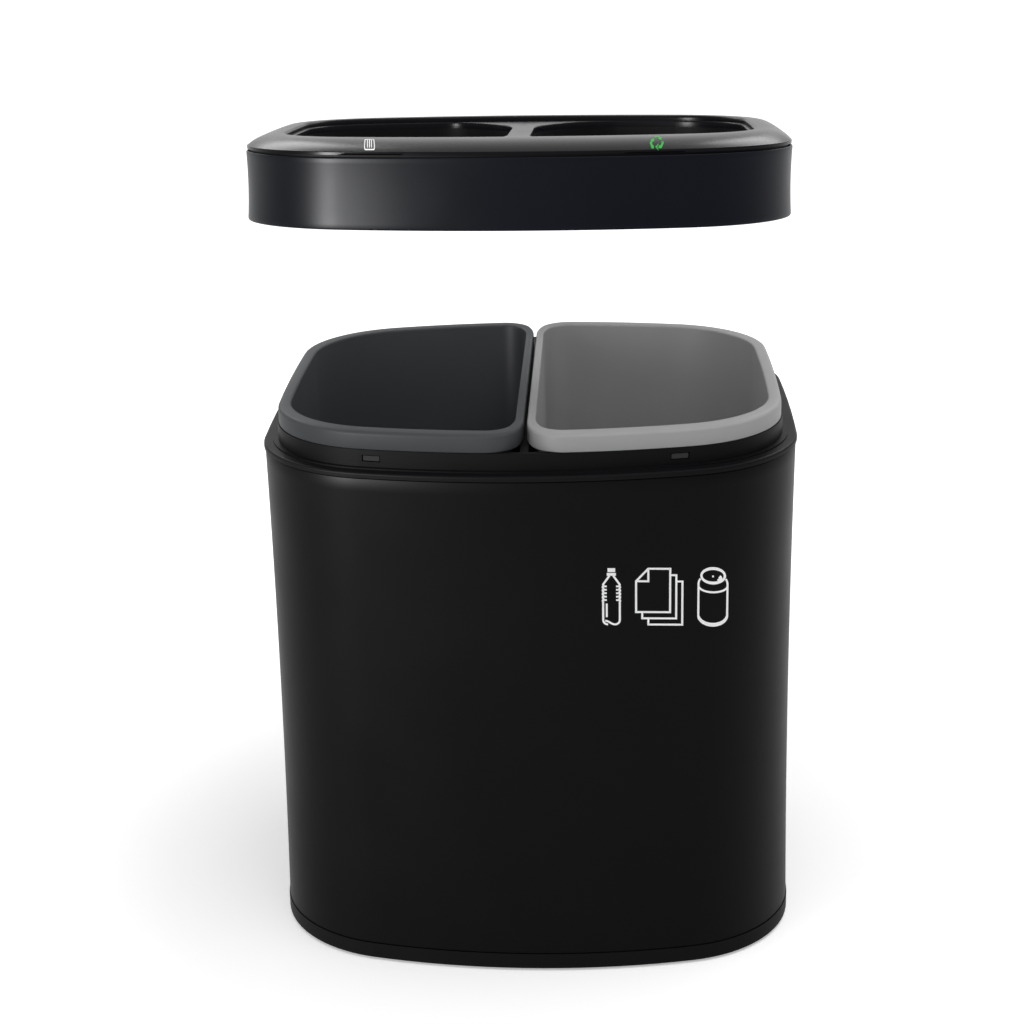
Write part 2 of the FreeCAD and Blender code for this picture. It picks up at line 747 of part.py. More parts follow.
def between(outer, inner, share):
    """The outline that lies a share of the way from one outline to one inside it."""
    keep = as_size(1) - share
    return Outline(outer.half_x * keep + inner.half_x * share,
                   outer.half_y * keep + inner.half_y * share,
                   outer.front * keep + inner.front * share,
                   outer.side * keep + inner.side * share,
                   outer.corner * keep + inner.corner * share)


right_chute, left_chute = [
    HalfOutline(grown(opening, -dim("opening_ledge")), dim("bridge_half_width"),
                dim("bridge_near_radius"), dim("bridge_tight_radius"),
                bridge_near_y, turn)
    for turn in (0, 180)]


def opening_edge(edge):
    """Whether an edge of the frame's top lies on the opening."""
    middle = edge.valueAt((edge.FirstParameter + edge.LastParameter) / 2)
    return abs(middle.x) < opening.half_x.value + 0.5 and abs(middle.y) < opening.half_y.value + 0.5


lid_band = new_body("lid_band")
loft(lid_band, "Additive",
     (0, can_outline(0)),
     (dim("band_height") / 2, can_outline(dim("band_dish"))),
     (dim("band_height"), can_outline(0)))
loft(lid_band, "Subtractive",
     (0, can_outline(dim("sheet_thickness"))),
     (dim("band_height") / 2, can_outline(dim("band_dish") + dim("sheet_thickness"))),
     (dim("band_height"), can_outline(dim("sheet_thickness"))))
# folded hems inside the band's two edges
for hem_foot in (as_size(0), dim("band_height") - 3):
    pad(lid_band, hem_foot, hem_foot + 3,
        can_outline(dim("sheet_thickness") * 0.6), can_outline(dim("sheet_thickness") * 1.8))

lid_top_frame = new_body("lid_top_frame")
lip_outline = can_outline(dim("lip_inset"))
roll_outline = grown(opening, 1)
# the slope is convex: steep beside the lip and almost flat at the opening
shoulder = lip_top + dim("shoulder_rise")
shoulder_outline = between(lip_outline, roll_outline, dim("shoulder_share"))
pad(lid_top_frame, lip_bottom, lip_top, lip_outline)
loft(lid_top_frame, "Additive",
     (lip_top, lip_outline), (shoulder, shoulder_outline), (roll_top, roll_outline))
loft(lid_top_frame, "Subtractive",
     (lip_bottom, can_outline(dim("lip_inset") + dim("frame_wall"))),
     (shoulder - dim("frame_wall"), shoulder_outline),
     (roll_top - dim("frame_wall"), grown(opening, 2.6)))
pad(lid_top_frame, lip_bottom, roll_top - 1, grown(opening, 1.6))
pocket(lid_top_frame, roll_top, bridge_top, opening)
for hole in (right_chute, left_chute):
    pocket(lid_top_frame, bridge_top, lip_bottom, hole)
fillet(lid_top_frame, 0.5, at_level(roll_top, opening_edge))

# carrier: a ring inside the band, a deck under the frame and a chute round each opening
deck_top = lip_bottom
deck_bottom = deck_top - 2
ring_inset = dim("carrier_inset") + dim("carrier_wall")
nub_level = dim("slot_rise") - dim("nub_height") / 2

lid_carrier = new_body("lid_carrier")
pad(lid_carrier, deck_bottom, deck_top, can_outline(dim("carrier_inset")))
pad(lid_carrier, 1.0, deck_bottom, can_outline(dim("carrier_inset")), can_outline(ring_inset))
for hole in (right_chute, left_chute):
    pad(lid_carrier, dim("chute_bottom"), deck_bottom, drawn_in(hole, -dim("chute_wall")))
for hole in (right_chute, left_chute):
    pocket(lid_carrier, deck_top, dim("chute_bottom"), hole)
nub_radius = dim("front_radius") - ring_inset - dim("nub_reach") / 2 + 0.4
for sign_x, sign_y in CORNERS.values():
    nub = (nub_radius * slot_shift * sign_x,
           (nub_radius * slot_drop - arc_centre) * sign_y, nub_level)
    block(lid_carrier, "Additive", (dim("nub_width"), dim("nub_reach") + 0.8, dim("nub_height")),
          nub, slot_turn * sign_x * -sign_y)
screw_places = [(dim("lid_screw_x") * sign_x,
                 (dim("half_depth") - dim("lid_screw_inset")) * sign_y)
                for sign_x, sign_y in CORNERS.values()]
for screw_x, screw_y in screw_places:
    rod(lid_top_frame, "Additive", dim("lid_boss_radius"), 3.4,
        (screw_x, screw_y, lip_bottom + 0.02))
    rod(lid_top_frame, "Subtractive", dim("lid_screw_radius") + 0.05, 3.0,
        (screw_x, screw_y, lip_bottom))
    rod(lid_carrier, "Subtractive", dim("lid_screw_radius") + 0.5, 4,
        (screw_x, screw_y, deck_bottom - 1))

small_screws = []
for screw_x, screw_y in screw_places:
    head = document.addObject("Part::Cylinder", "lid_screw_head")
    bind(head, "Radius", dim("lid_screw_head"))
    bind(head, "Height", 1.8)
    shank = document.addObject("Part::Cylinder", "lid_screw_shank")
    bind(shank, "Radius", dim("lid_screw_radius"))
    bind(shank, "Height", 4.8)
    for solid, foot_z in ((head, deck_bottom - 1.8), (shank, deck_bottom - 0.01)):
        bind(solid, "Placement.Base.x", screw_x)
        bind(solid, "Placement.Base.y", screw_y)
        bind(solid, "Placement.Base.z", foot_z)
    screw = document.addObject("Part::Fuse", "lid_screw")
    screw.Base = head
    screw.Tool = shank
    small_screws.append(screw)
lid_screws = document.addObject("Part::Compound", "lid_screws")
lid_screws.Label = "lid_screws"
lid_screws.Links = small_screws

# The lid ring is stored lifted off its ledge and tipped. One turn about a far axis takes
# it there, so the turn's axis lies square to the way from the seat to the stored place.
seated = Vector(0, 0, dim("ledge_top").value + dim("lid_seat_clearance").value)
shown = Vector(dim("lid_shift_x").value, dim("lid_shift_y").value,
               dim("ledge_top").value + dim("lid_lift").value)
travel = shown - seated
tipping = Vector(-dim("lid_tip").value, dim("lid_lean").value, 0)
tipping = tipping - travel * (tipping.dot(travel) / travel.dot(travel))
tip_rotation = Rotation(Vector(tipping), tipping.Length)
for piece in (lid_band, lid_top_frame, lid_carrier, lid_screws):
    piece.Placement = Placement(shown, tip_rotation)

half_turn = math.radians(tipping.Length) / 2
axis = Vector(tipping).normalize()
middle = (shown + seated) * 0.5
axis_point = middle + axis.cross(travel) * (0.5 / math.tan(half_turn))

# ---------------------------------------------------------------- write the pieces

PIECES = [outer_shell, base_pan, *feet.values(), *brackets.values(), base_screws,
          collar, *springs.values(), left_bucket, right_bucket,
          lid_band, lid_top_frame, lid_carrier, lid_screws]


def check_cuts():
    """Every cutting feature must take material away."""
    for feature in document.Objects:
        kind = feature.TypeId
        if "Subtractive" in kind or kind.endswith("Pocket"):
            before = feature.BaseFeature.Shape.Volume
            if feature.Shape.Volume > before - 0.5:
                raise RuntimeError(f"{feature.Name} cuts nothing")


def write_parts():
    """Check every object, then write each sub-part to its own STEP file."""
    document.recompute()
    for thing in document.Objects:
        for state in thing.State:
            if state in ("Invalid", "Error"):
                raise RuntimeError(f"{thing.Name} failed: {thing.State}")
    check_cuts()
    os.makedirs("parts", exist_ok=True)
    for piece in PIECES:
        if piece.Shape.isNull() or not piece.Shape.isValid():
            raise RuntimeError(f"{piece.Label} is not a valid solid")
        piece.Shape.exportStep(os.path.join("parts", f"{piece.Label}.step"))
        print(piece.Label, len(piece.Shape.Solids), round(piece.Shape.Volume))


write_parts()
print("lid axis point", axis_point)
print("lid axis direction", axis)
print("lid turn from seat", tipping.Length)
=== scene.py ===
"""Looks of a double recycling bin: a waisted can, two tubs on a collar and a lid ring.

Lengths in the shape functions are millimetres, and every mesh is written in metres.
Every outline is a closed chain of tangent arcs, and a half outline has a straight edge
too. It is walked counter-clockwise by the angle phi of its outward normal, which is 0
towards the front (-Y) and 90 degrees at +X. A point of an arc is its centre plus radius
times (sin phi, -cos phi).
"""
import json
import math
from functools import partial

import bmesh
import bpy
import numpy as np
from mathutils import Matrix, Vector


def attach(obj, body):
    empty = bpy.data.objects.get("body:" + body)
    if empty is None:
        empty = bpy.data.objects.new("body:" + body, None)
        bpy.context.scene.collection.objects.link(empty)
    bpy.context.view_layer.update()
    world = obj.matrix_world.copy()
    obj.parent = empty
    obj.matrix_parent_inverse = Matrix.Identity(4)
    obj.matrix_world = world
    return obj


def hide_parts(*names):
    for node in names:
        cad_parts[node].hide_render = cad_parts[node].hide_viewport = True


bl_info = {
    "name": "Double Recycling Bin",
    "version": (1, 0, 0),
    "blender": (4, 5, 0),
    "location": "View3D > Sidebar > Recycling Bin",
    "description": "Dresses a double recycling bin with its skins, finishes and signs",
    "category": "Add Mesh",
}

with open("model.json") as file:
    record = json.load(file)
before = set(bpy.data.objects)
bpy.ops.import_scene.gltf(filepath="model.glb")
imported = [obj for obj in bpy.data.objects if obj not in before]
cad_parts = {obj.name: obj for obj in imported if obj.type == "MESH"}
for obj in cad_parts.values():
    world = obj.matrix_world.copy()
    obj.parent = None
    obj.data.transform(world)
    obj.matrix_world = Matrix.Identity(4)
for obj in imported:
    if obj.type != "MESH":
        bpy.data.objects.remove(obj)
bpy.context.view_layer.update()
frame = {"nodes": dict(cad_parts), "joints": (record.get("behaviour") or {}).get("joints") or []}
MILLIMETRE = 0.001
PICTURE_SIZE = 1024.0


# ---------------------------------------------------------------- sizes and colours


def number(name, default, description, **more):
    """A number property; the sizes are millimetres."""
    return bpy.props.FloatProperty(name=name, default=default, description=description, **more)


def colour(name, default, description):
    """A colour property, held as an sRGB hex value."""
    return bpy.props.StringProperty(name=name, default=default, description=description)


class CanSizes(bpy.types.PropertyGroup):
    """The can's plan at its ledge, and the shell's waist, sheet and levels."""

    half_width: number("Half width", 130.0, "From the middle to the ledge's side")
    half_depth: number("Half depth", 122.0, "From the middle to the ledge's front")
    front_radius: number("Front radius", 335.0, "Radius of the front and back arcs")
    side_radius: number("Side radius", 1750.0, "Radius of the two side arcs")
    corner_radius: number("Corner radius", 66.0, "Radius of the four corner arcs")
    shell_inset: number("Shell inset", 0.6, "The shell stands this far inside the ledge")
    waist: number("Waist", 1.1, "How far the shell draws in at mid height")
    sheet: number("Sheet", 0.8, "Thickness of the steel sheet")
    shell_bottom: number("Shell bottom", 9.3, "Where the shell meets the base ring")
    shell_top: number("Shell top", 251.0, "Where the shell meets the collar")


class TubSizes(bpy.types.PropertyGroup):
    """The two tubs' rims, walls and corners."""

    rim_inset: number("Rim inset", 7.8, "From the ledge's edge to the rim's outer side")
    rim_top: number("Rim top", 271.5, "Top of the rims")
    rim_bottom: number("Rim bottom", 262.8, "Lower edge of the rims' skirts")
    side_width: number("Side width", 6.1, "Width of the rim's top at the side")
    front_width: number("Front width", 8.9, "Width of the rim's top at front and back")
    middle_width: number("Middle width", 4.0, "Width of the rim's top beside the middle")
    half_gap: number("Half gap", 0.75, "Half the gap between the two rims")
    near_radius: number("Near radius", 45.0, "Wide arc beside the middle")
    tight_radius: number("Tight radius", 15.5, "Tight arc of the inner corners")
    near_y: number("Near y", 88.4, "Where the wide arc starts, from the middle")
    draft: number("Draft", 6.0, "How far the walls draw in down to the floor")
    bottom: number("Bottom", 27.0, "Underside of the tubs")
    wall: number("Wall", 2.0, "Wall thickness")


class LidSizes(bpy.types.PropertyGroup):
    """The lid ring in its own frame, and the height of its seat."""

    band: number("Band", 32.6, "Height of the steel band")
    dish: number("Dish", 0.5, "How far the band draws in at mid height")
    lip_bottom: number("Lip bottom", 33.6, "Lower edge of the frame's lip")
    lip_top: number("Lip top", 35.2, "Upper edge of the frame's lip")
    lip_inset: number("Lip inset", 0.4, "The lip stands this far inside the band")
    roll_top: number("Roll top", 39.6, "Top of the slope, round the openings")
    bridge_top: number("Bridge top", 36.9, "Top of the bridge")
    opening_x: number("Opening x", 112.7, "Half width of the step round the openings")
    opening_y: number("Opening y", 88.0, "Half depth of the step round the openings")
    opening_corner: number("Opening corner", 43.6, "Corner radius of the step")
    ledge: number("Ledge", 1.4, "Width of the step's ledge")
    bridge_half: number("Bridge half", 5.6, "Half width of the bridge's waist")
    bridge_near: number("Bridge near", 60.0, "Wide radius of the bridge's flare")
    bridge_tight: number("Bridge tight", 22.0, "Tight radius of the bridge's flare")
    bridge_y: number("Bridge y", 30.0, "Half length of the bridge's straight part")
    seat: number("Seat", 254.2, "Height of the ring's lower edge on its seat")
    slope_power: number("Slope power", 3.0, "How soon the slope flattens")


class Finishes(bpy.types.PropertyGroup):
    """Colours of the finishes, as sRGB hex values."""

    shell: colour("Shell", "#070708", "Black powder coat of the can")
    band: colour("Band", "#070a13", "Black powder coat of the lid's band")
    moulded: colour("Moulded black", "#0b0b0d", "Black moulded plastic")
    polished: colour("Polished black", "#101013", "Polished black plastic of the lid frame")
    dark_tub: colour("Dark tub", "#484a4c", "Dark grey plastic of the left tub")
    light_tub: colour("Light tub", "#9e9e9e", "Light grey plastic of the right tub")
    spring: colour("Latch spring", "#3a3a3c", "Grey plastic of the latch springs")
    rubber: colour("Rubber", "#141414", "Black rubber of the feet")
    zinc: colour("Zinc", "#b9bcc0", "Zinc plated steel")
    ink: colour("Ink", "#f6f6f6", "White ink of the signs")
    green_ink: colour("Green ink", "#2ba33a", "Green ink of the three-arrow loop")
    floor: colour("Floor", "#f6f6f6", "Pale floor")


class StageSettings(bpy.types.PropertyGroup):
    """The camera, solved on the photograph's outlines, and the lights."""

    eye: bpy.props.FloatVectorProperty(
        name="Eye", size=3, default=(33.84, -1061.8, 545.0), description="Camera place, mm")
    yaw: number("Yaw", -0.0840, "Turn from +Y towards +X", subtype="ANGLE")
    pitch: number("Pitch", -0.3140, "Tilt above level", subtype="ANGLE")
    roll: number("Roll", -0.0326, "Roll about the view", subtype="ANGLE")
    focal: number("Focal", 2162.3, "Focal length in pixels of the picture")
    centre_x: number("Centre x", 425.5, "Principal point, pixels from the left")
    centre_y: number("Centre y", 509.6, "Principal point, pixels from the top")
    key: number("Key", 2.4, "Key light, watts")
    fill: number("Fill", 12.5, "Top light, watts")
    strip: number("Strip", 68.0, "Strip light, watts, for reflections only")
    back: number("Back", 5.5, "Each back light, watts, for reflections only")
    sky: number("Sky", 0.5, "Level of the sky")
    floor_lift: number("Floor lift", 0.36, "Glow of the seen floor beside the bin")
    far_lift: number("Far lift", 0.75, "Glow of the seen floor further off")


# ---------------------------------------------------------------- outlines

FRONT_STEPS = 40
CORNER_STEPS = 22
SIDE_STEPS = 22
NEAR_STEPS = 14
TIGHT_STEPS = 12
EDGE_STEPS = 18


def corner_centre(centre_a, reach_a, centre_b, reach_b, towards):
    """The point at given distances from two centres, nearest to a wanted place.

    The point lies along the line of centres by (a^2 - b^2 + d^2) / 2d and off it by
    Pythagoras.
    """
    span = centre_b - centre_a
    distance = np.hypot(*span)
    along = (reach_a ** 2 - reach_b ** 2 + distance ** 2) / (2 * distance)
    across = math.sqrt(reach_a ** 2 - along ** 2)
    unit = span / distance
    normal = np.array([-unit[1], unit[0]])
    choices = [centre_a + unit * along + normal * across * sign for sign in (1, -1)]
    return min(choices, key=lambda point: np.hypot(*(point - towards)))


def normal_angle(vector):
    """Angle phi of a direction: 0 towards the front, growing towards +X."""
    return math.atan2(vector[0], -vector[1])


def arc(centre, radius, start, end, steps):
    """Points of one arc from angle start up to, but not including, end."""
    phi = np.linspace(start, end, steps, endpoint=False)
    return centre + radius * np.stack([np.sin(phi), -np.cos(phi)], axis=1)


def straight_edge(x, start, end, steps):
    """Points of a straight edge at x from y = start up to, but not including, end."""
    return np.stack([np.full(steps, x), np.linspace(start, end, steps, endpoint=False)],
                    axis=1)


def mirrored(arcs):
    """The back's twins of arcs at the front, in the order in which they are walked."""
    return [(centre * (1, -1), radius, math.pi - end, math.pi - start, steps)
            for centre, radius, start, end, steps in reversed(arcs)]


class Plan:
    """A closed outline of eight tangent arcs, given its two halves and three radii."""

    def __init__(self, half_x, half_y, front, side, corner):
        self.half_x, self.half_y = half_x, half_y
        self.front, self.side, self.corner = front, side, corner
        self.front_centre = np.array([0.0, front - half_y])
        self.side_centre = np.array([half_x - side, 0.0])
        self.corner_centre = corner_centre(
            self.front_centre, front - corner, self.side_centre, side - corner,
            np.array([half_x, -half_y]))
        self.corner_start = normal_angle(self.corner_centre - self.front_centre)
        self.corner_end = normal_angle(self.corner_centre - self.side_centre)

    def drawn_in(self, side_inset, front_inset=None):
        """The plan moved inwards, by its own amount at front and back if given."""
        front_inset = side_inset if front_inset is None else front_inset
        return Plan(self.half_x - side_inset, self.half_y - front_inset,
                    self.front - front_inset, self.side - side_inset,
                    self.corner - side_inset)

    def right_side(self):
        """The three arcs round the right-hand side, as centre, radius, start, end, steps."""
        corner = [(self.corner_centre, self.corner, self.corner_start, self.corner_end,
                   CORNER_STEPS)]
        side = (self.side_centre, self.side, self.corner_end, math.pi - self.corner_end,
                SIDE_STEPS)
        return [*corner, side, *mirrored(corner)]

    def loop(self):
        """The whole outline as points."""
        front = (self.front_centre, self.front, -self.corner_start, self.corner_start,
                 FRONT_STEPS)
        right = np.concatenate([arc(*piece) for piece in (front, *self.right_side())])
        return np.concatenate([right, -right])

    def half_steps(self, near_y, tight_angle):
        """The right half with a sharp edge on x = 0, stepped to match a rounded hole."""
        front = [(self.front_centre, self.front, 0, tight_angle, TIGHT_STEPS),
                 (self.front_centre, self.front, tight_angle, self.corner_start, FRONT_STEPS)]
        arcs = [*front, *self.right_side(), *mirrored(front)]
        return np.concatenate([
            straight_edge(0.0, -near_y, -self.half_y, NEAR_STEPS),
            *[arc(*piece) for piece in arcs],
            straight_edge(0.0, self.half_y, near_y, NEAR_STEPS),
            straight_edge(0.0, near_y, -near_y, EDGE_STEPS)])


class HalfPlan:
    """The right half of a plan, closed by an edge with a wide and a tight arc at its ends."""

    def __init__(self, plan, edge_x, near, tight, near_y):
        self.plan, self.edge_x = plan, edge_x
        self.near, self.tight, self.near_y = near, tight, near_y
        self.near_centre = np.array([edge_x + near, -near_y])
        self.tight_centre = corner_centre(
            plan.front_centre, plan.front - tight, self.near_centre, near - tight,
            np.array([edge_x, -plan.half_y]))
        self.tight_start = normal_angle(self.tight_centre - self.near_centre)
        self.tight_end = normal_angle(self.tight_centre - plan.front_centre)

    def drawn_in(self, side_inset, front_inset=None, edge_inset=None):
        """The half plan moved inwards, by its own amounts at front and middle if given."""
        front_inset = side_inset if front_inset is None else front_inset
        edge_inset = side_inset if edge_inset is None else edge_inset
        return HalfPlan(self.plan.drawn_in(side_inset, front_inset),
                        self.edge_x + edge_inset, self.near - edge_inset,
                        self.tight - edge_inset, self.near_y - (front_inset - edge_inset))

    def loop(self):
        """The half outline as points, starting where the front wide arc starts."""
        plan = self.plan
        front = [
            (self.near_centre, self.near, -math.pi / 2, self.tight_start, NEAR_STEPS),
            (self.tight_centre, self.tight, self.tight_start, self.tight_end, TIGHT_STEPS),
            (plan.front_centre, plan.front, self.tight_end, plan.corner_start, FRONT_STEPS)]
        arcs = [*front, *plan.right_side(), *mirrored(front)]
        return np.concatenate([
            *[arc(*piece) for piece in arcs],
            straight_edge(self.edge_x, self.near_y, -self.near_y, EDGE_STEPS)])


def can_plan():
    """The can's plan at its ledge."""
    size = bpy.context.scene.can_sizes
    return Plan(size.half_width, size.half_depth, size.front_radius, size.side_radius,
                size.corner_radius)


def rounded(corners, steps):
    """A profile through corners given as (inset, height, radius), rounded by arcs.

    Each corner gives way to a circular arc that touches both its legs, at a distance of
    radius * tan(turn / 2) from the corner.
    """
    path = []
    for place, (inset, height, radius) in enumerate(corners):
        here = np.array([inset, height])
        if radius <= 0 or place in (0, len(corners) - 1):
            path.append(here[None])
            continue
        before = np.array(corners[place - 1][:2]) - here
        after = np.array(corners[place + 1][:2]) - here
        before /= np.hypot(*before)
        after /= np.hypot(*after)
        turn = math.pi - math.acos(np.clip(before @ after, -1, 1))
        cut = radius * math.tan(turn / 2)
        middle = (before + after) / np.hypot(*(before + after))
        centre = here + middle * radius / math.cos(turn / 2)
        start = here + before * cut - centre
        share = np.linspace(0, 1, steps + 1)[:, None] * turn
        end = here + after * cut - centre
        path.append(centre + (np.sin(turn - share) * start + np.sin(share) * end)
                    / math.sin(turn))
    return np.concatenate(path)


# ---------------------------------------------------------------- meshes


def stack_loops(loops, heights):
    """Loops of points in plan and a height for each, as rows of points in space."""
    rows = np.stack(loops)
    lift = np.broadcast_to(np.asarray(heights, float)[:, None, None], rows.shape[:2] + (1,))
    return np.concatenate([rows, lift], axis=2)


def quads(rows, columns, first, closed):
    """Faces between neighbouring rows of a grid whose rows close on themselves.

    A closed grid also joins its last row to its first.
    """
    last = rows if closed else rows - 1
    row, column = np.meshgrid(np.arange(last), np.arange(columns), indexing="ij")
    above = (row + 1) % rows
    beside = (column + 1) % columns
    return np.stack([row * columns + column, row * columns + beside,
                     above * columns + beside, above * columns + column],
                    axis=-1).reshape(-1, 4) + first


class Skin:
    """Points and faces gathered from several surfaces before they become one mesh."""

    def __init__(self):
        self.points = []
        self.faces = []
        self.count = 0

    def add_rows(self, rows, closed=False, caps=False):
        """Add the surface through rows of points, with flat caps at its ends if asked."""
        height, width = rows.shape[:2]
        self.points.append(rows.reshape(-1, 3))
        self.faces += quads(height, width, self.count, closed).tolist()
        if caps:
            low = np.arange(width) + self.count
            self.faces.append(low[::-1].tolist())
            self.faces.append((low + (height - 1) * width).tolist())
        self.count += height * width


def lid_place():
    """The lifted ring's turn and place, reached from its seat by the lid's own hinge.

    A point p goes to hinge + turn * (p - hinge), so the ring's origin, which sits at the
    seat's height, goes the same way.
    """
    hinge = next(joint for joint in frame["joints"] if joint["name"] == "lid_lift")
    angle = math.radians(-hinge["range_deg"][0])
    turn = np.array(Matrix.Rotation(angle, 3, Vector(hinge["axis"])))
    centre = np.array(hinge["pos_m"]) / MILLIMETRE
    seat = np.array([0, 0, bpy.context.scene.lid_sizes.seat])
    return turn, centre + turn @ (seat - centre)


SHARP_ANGLE = math.radians(35.0)


def make_piece(name, skin, body, material, replaces=(), merge=0.0):
    """Turn a skin into a finished piece that rides on a body; ink has no slot."""
    points = np.concatenate(skin.points)
    if body == "lid":
        turn, shown = lid_place()
        points = points @ turn.T + shown
    mesh = bpy.data.meshes.new(name)
    mesh.from_pydata((points * MILLIMETRE).tolist(), [], skin.faces)
    if merge:
        weld(mesh, merge)
    mesh.polygons.foreach_set("use_smooth", [True] * len(mesh.polygons))
    mesh.set_sharp_from_angle(angle=SHARP_ANGLE)
    mesh.materials.append(material)
    mesh.validate()
    piece = bpy.data.objects.new(name, mesh)
    bpy.context.scene.collection.objects.link(piece)
    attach(piece, body)
    if replaces:
        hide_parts(*replaces)


def weld(mesh, distance):
    """Merge points nearer than a distance in millimetres."""
    work = bmesh.new()
    work.from_mesh(mesh)
    bmesh.ops.remove_doubles(work, verts=work.verts, dist=distance * MILLIMETRE)
    work.to_mesh(mesh)
    work.free()


# ---------------------------------------------------------------- finishes


def linear(hex_colour):
    """An sRGB hex value as linear red, green, blue and alpha."""
    parts = [int(hex_colour[place:place + 2], 16) / 255 for place in (1, 3, 5)]
    return [part / 12.92 if part <= 0.04045 else ((part + 0.055) / 1.055) ** 2.4
            for part in parts] + [1.0]


def add_node(tree, kind, inputs=None, **settings):
    """Add one node, set what is given and link what is a socket."""
    node = tree.nodes.new(kind)
    for name, value in settings.items():
        setattr(node, name, value)
    for name, value in (inputs or {}).items():
        if isinstance(value, bpy.types.NodeSocket):
            tree.links.new(value, node.inputs[name])
        else:
            node.inputs[name].default_value = value
    return node


def start_material(name):
    """A new material and its node tree, with no nodes yet."""
    material = bpy.data.materials.new(name)
    material.use_nodes = True
    tree = material.node_tree
    tree.nodes.clear()
    return material, tree


# The drift's cells in millimetres, and how much lighter its other tone is.
DRIFT_SIZE = 45
DRIFT_TONE = 1.18


def grained_finish(name, hex_colour, roughness, grain_mm, grain_height_mm, spread,
                   specular=0.5, metallic=0.0):
    """A finish with a fine surface grain, and a slow drift of gloss and tone.

    The grain's noise has one cell per grain size; the drift has cells of 45 mm.
    """
    material, tree = start_material(name)
    place = add_node(tree, "ShaderNodeTexCoord").outputs["Object"]
    grain = add_node(tree, "ShaderNodeTexNoise", {
        "Vector": place, "Scale": 1 / (grain_mm * MILLIMETRE), "Detail": 2.0})
    drift = add_node(tree, "ShaderNodeTexNoise", {
        "Vector": place, "Scale": 1 / (DRIFT_SIZE * MILLIMETRE), "Detail": 3.0})
    gloss = add_node(tree, "ShaderNodeMapRange", {
        "Value": drift.outputs["Fac"], "From Min": 0.3, "From Max": 0.7,
        "To Min": roughness - spread, "To Max": roughness + spread})
    tone = add_node(tree, "ShaderNodeMixRGB", {
        "Fac": drift.outputs["Fac"], "Color1": linear(hex_colour),
        "Color2": [channel * DRIFT_TONE for channel in linear(hex_colour)[:3]] + [1.0]})
    bump = add_node(tree, "ShaderNodeBump", {
        "Height": grain.outputs["Fac"], "Strength": 0.6,
        "Distance": grain_height_mm * MILLIMETRE})
    shader = add_node(tree, "ShaderNodeBsdfPrincipled", {
        "Base Color": tone.outputs["Color"], "Roughness": gloss.outputs["Result"],
        "Normal": bump.outputs["Normal"], "Specular IOR Level": specular,
        "Metallic": metallic})
    add_node(tree, "ShaderNodeOutputMaterial", {"Surface": shader.outputs["BSDF"]})
    return material


def powder_coated_steel(name, hex_colour, roughness, specular):
    """Black powder coat on sheet steel: satin, with a faint orange peel of 1.6 mm."""
    return grained_finish(name, hex_colour, roughness, 1.6, 0.010, 0.03, specular=specular)


def spark_textured_plastic(name, hex_colour):
    """Plastic from a spark-eroded mould: matt, with a grain drawn at 0.7 mm."""
    return grained_finish(name, hex_colour, 0.5, 0.7, 0.02, 0.04, specular=0.05)


def polished_abs(name, hex_colour):
    """ABS from a polished mould: glossy, with a long faint wave from the flow."""
    return grained_finish(name, hex_colour, 0.25, 6.0, 0.004, 0.02, specular=0.05)


def moulded_polypropylene(name, hex_colour):
    """Polypropylene tubs: soft sheen and a grain drawn at 0.8 mm."""
    return grained_finish(name, hex_colour, 0.5, 0.8, 0.015, 0.03, specular=0.06)


def zinc_plated_steel(name, hex_colour):
    """Zinc plated steel: bright metal with cloudy patches."""
    return grained_finish(name, hex_colour, 0.3, 1.2, 0.004, 0.08, metallic=1.0)


def moulded_rubber(name, hex_colour):
    """Rubber feet: dull and nearly even."""
    return grained_finish(name, hex_colour, 0.75, 0.6, 0.02, 0.04, specular=0.3)


def screen_ink(name, hex_colour):
    """Screen-printed ink: a thin dull film with the screen's fine unevenness."""
    return grained_finish(name, hex_colour, 0.55, 0.5, 0.004, 0.04, specular=0.06)


def dress_nodes(names, material):
    """Give CAD nodes a finish."""
    for name in names:
        mesh = frame["nodes"][name].data
        mesh.materials.clear()
        mesh.materials.append(material)


CORNERS = ("front_left", "front_right", "rear_left", "rear_right")


# ---------------------------------------------------------------- the pieces


# Heights of the hems, and the thickness of the band's fold, counted in sheets.
SHELL_HEM = 6.0
BAND_HEM = 3.0
BAND_FOLD = 1.8


def waisted(low, high, count, depth):
    """Heights from low to high, and an inset depth * (1 - s^2) at each, s = -1..1."""
    heights = np.linspace(low, high, count)
    share = (heights - heights[0]) / (heights[-1] - heights[0]) * 2 - 1
    return heights, depth * (1 - share ** 2)


def folded_edge(thick, rise):
    """Insets and rises of a sheet folded over, from its outer face to its inner one."""
    turn = np.linspace(0, math.pi, 7)[1:-1]
    return thick / 2 * (1 - np.cos(turn)), rise * np.sin(turn)


def ring_skin(insets, heights):
    """A closed skin round the can's plan, drawn in by an inset at each height."""
    plan = can_plan()
    loops = [plan.drawn_in(inset).loop() for inset in np.concatenate(insets)]
    skin = Skin()
    skin.add_rows(stack_loops(loops, np.concatenate(heights)), closed=True)
    return skin


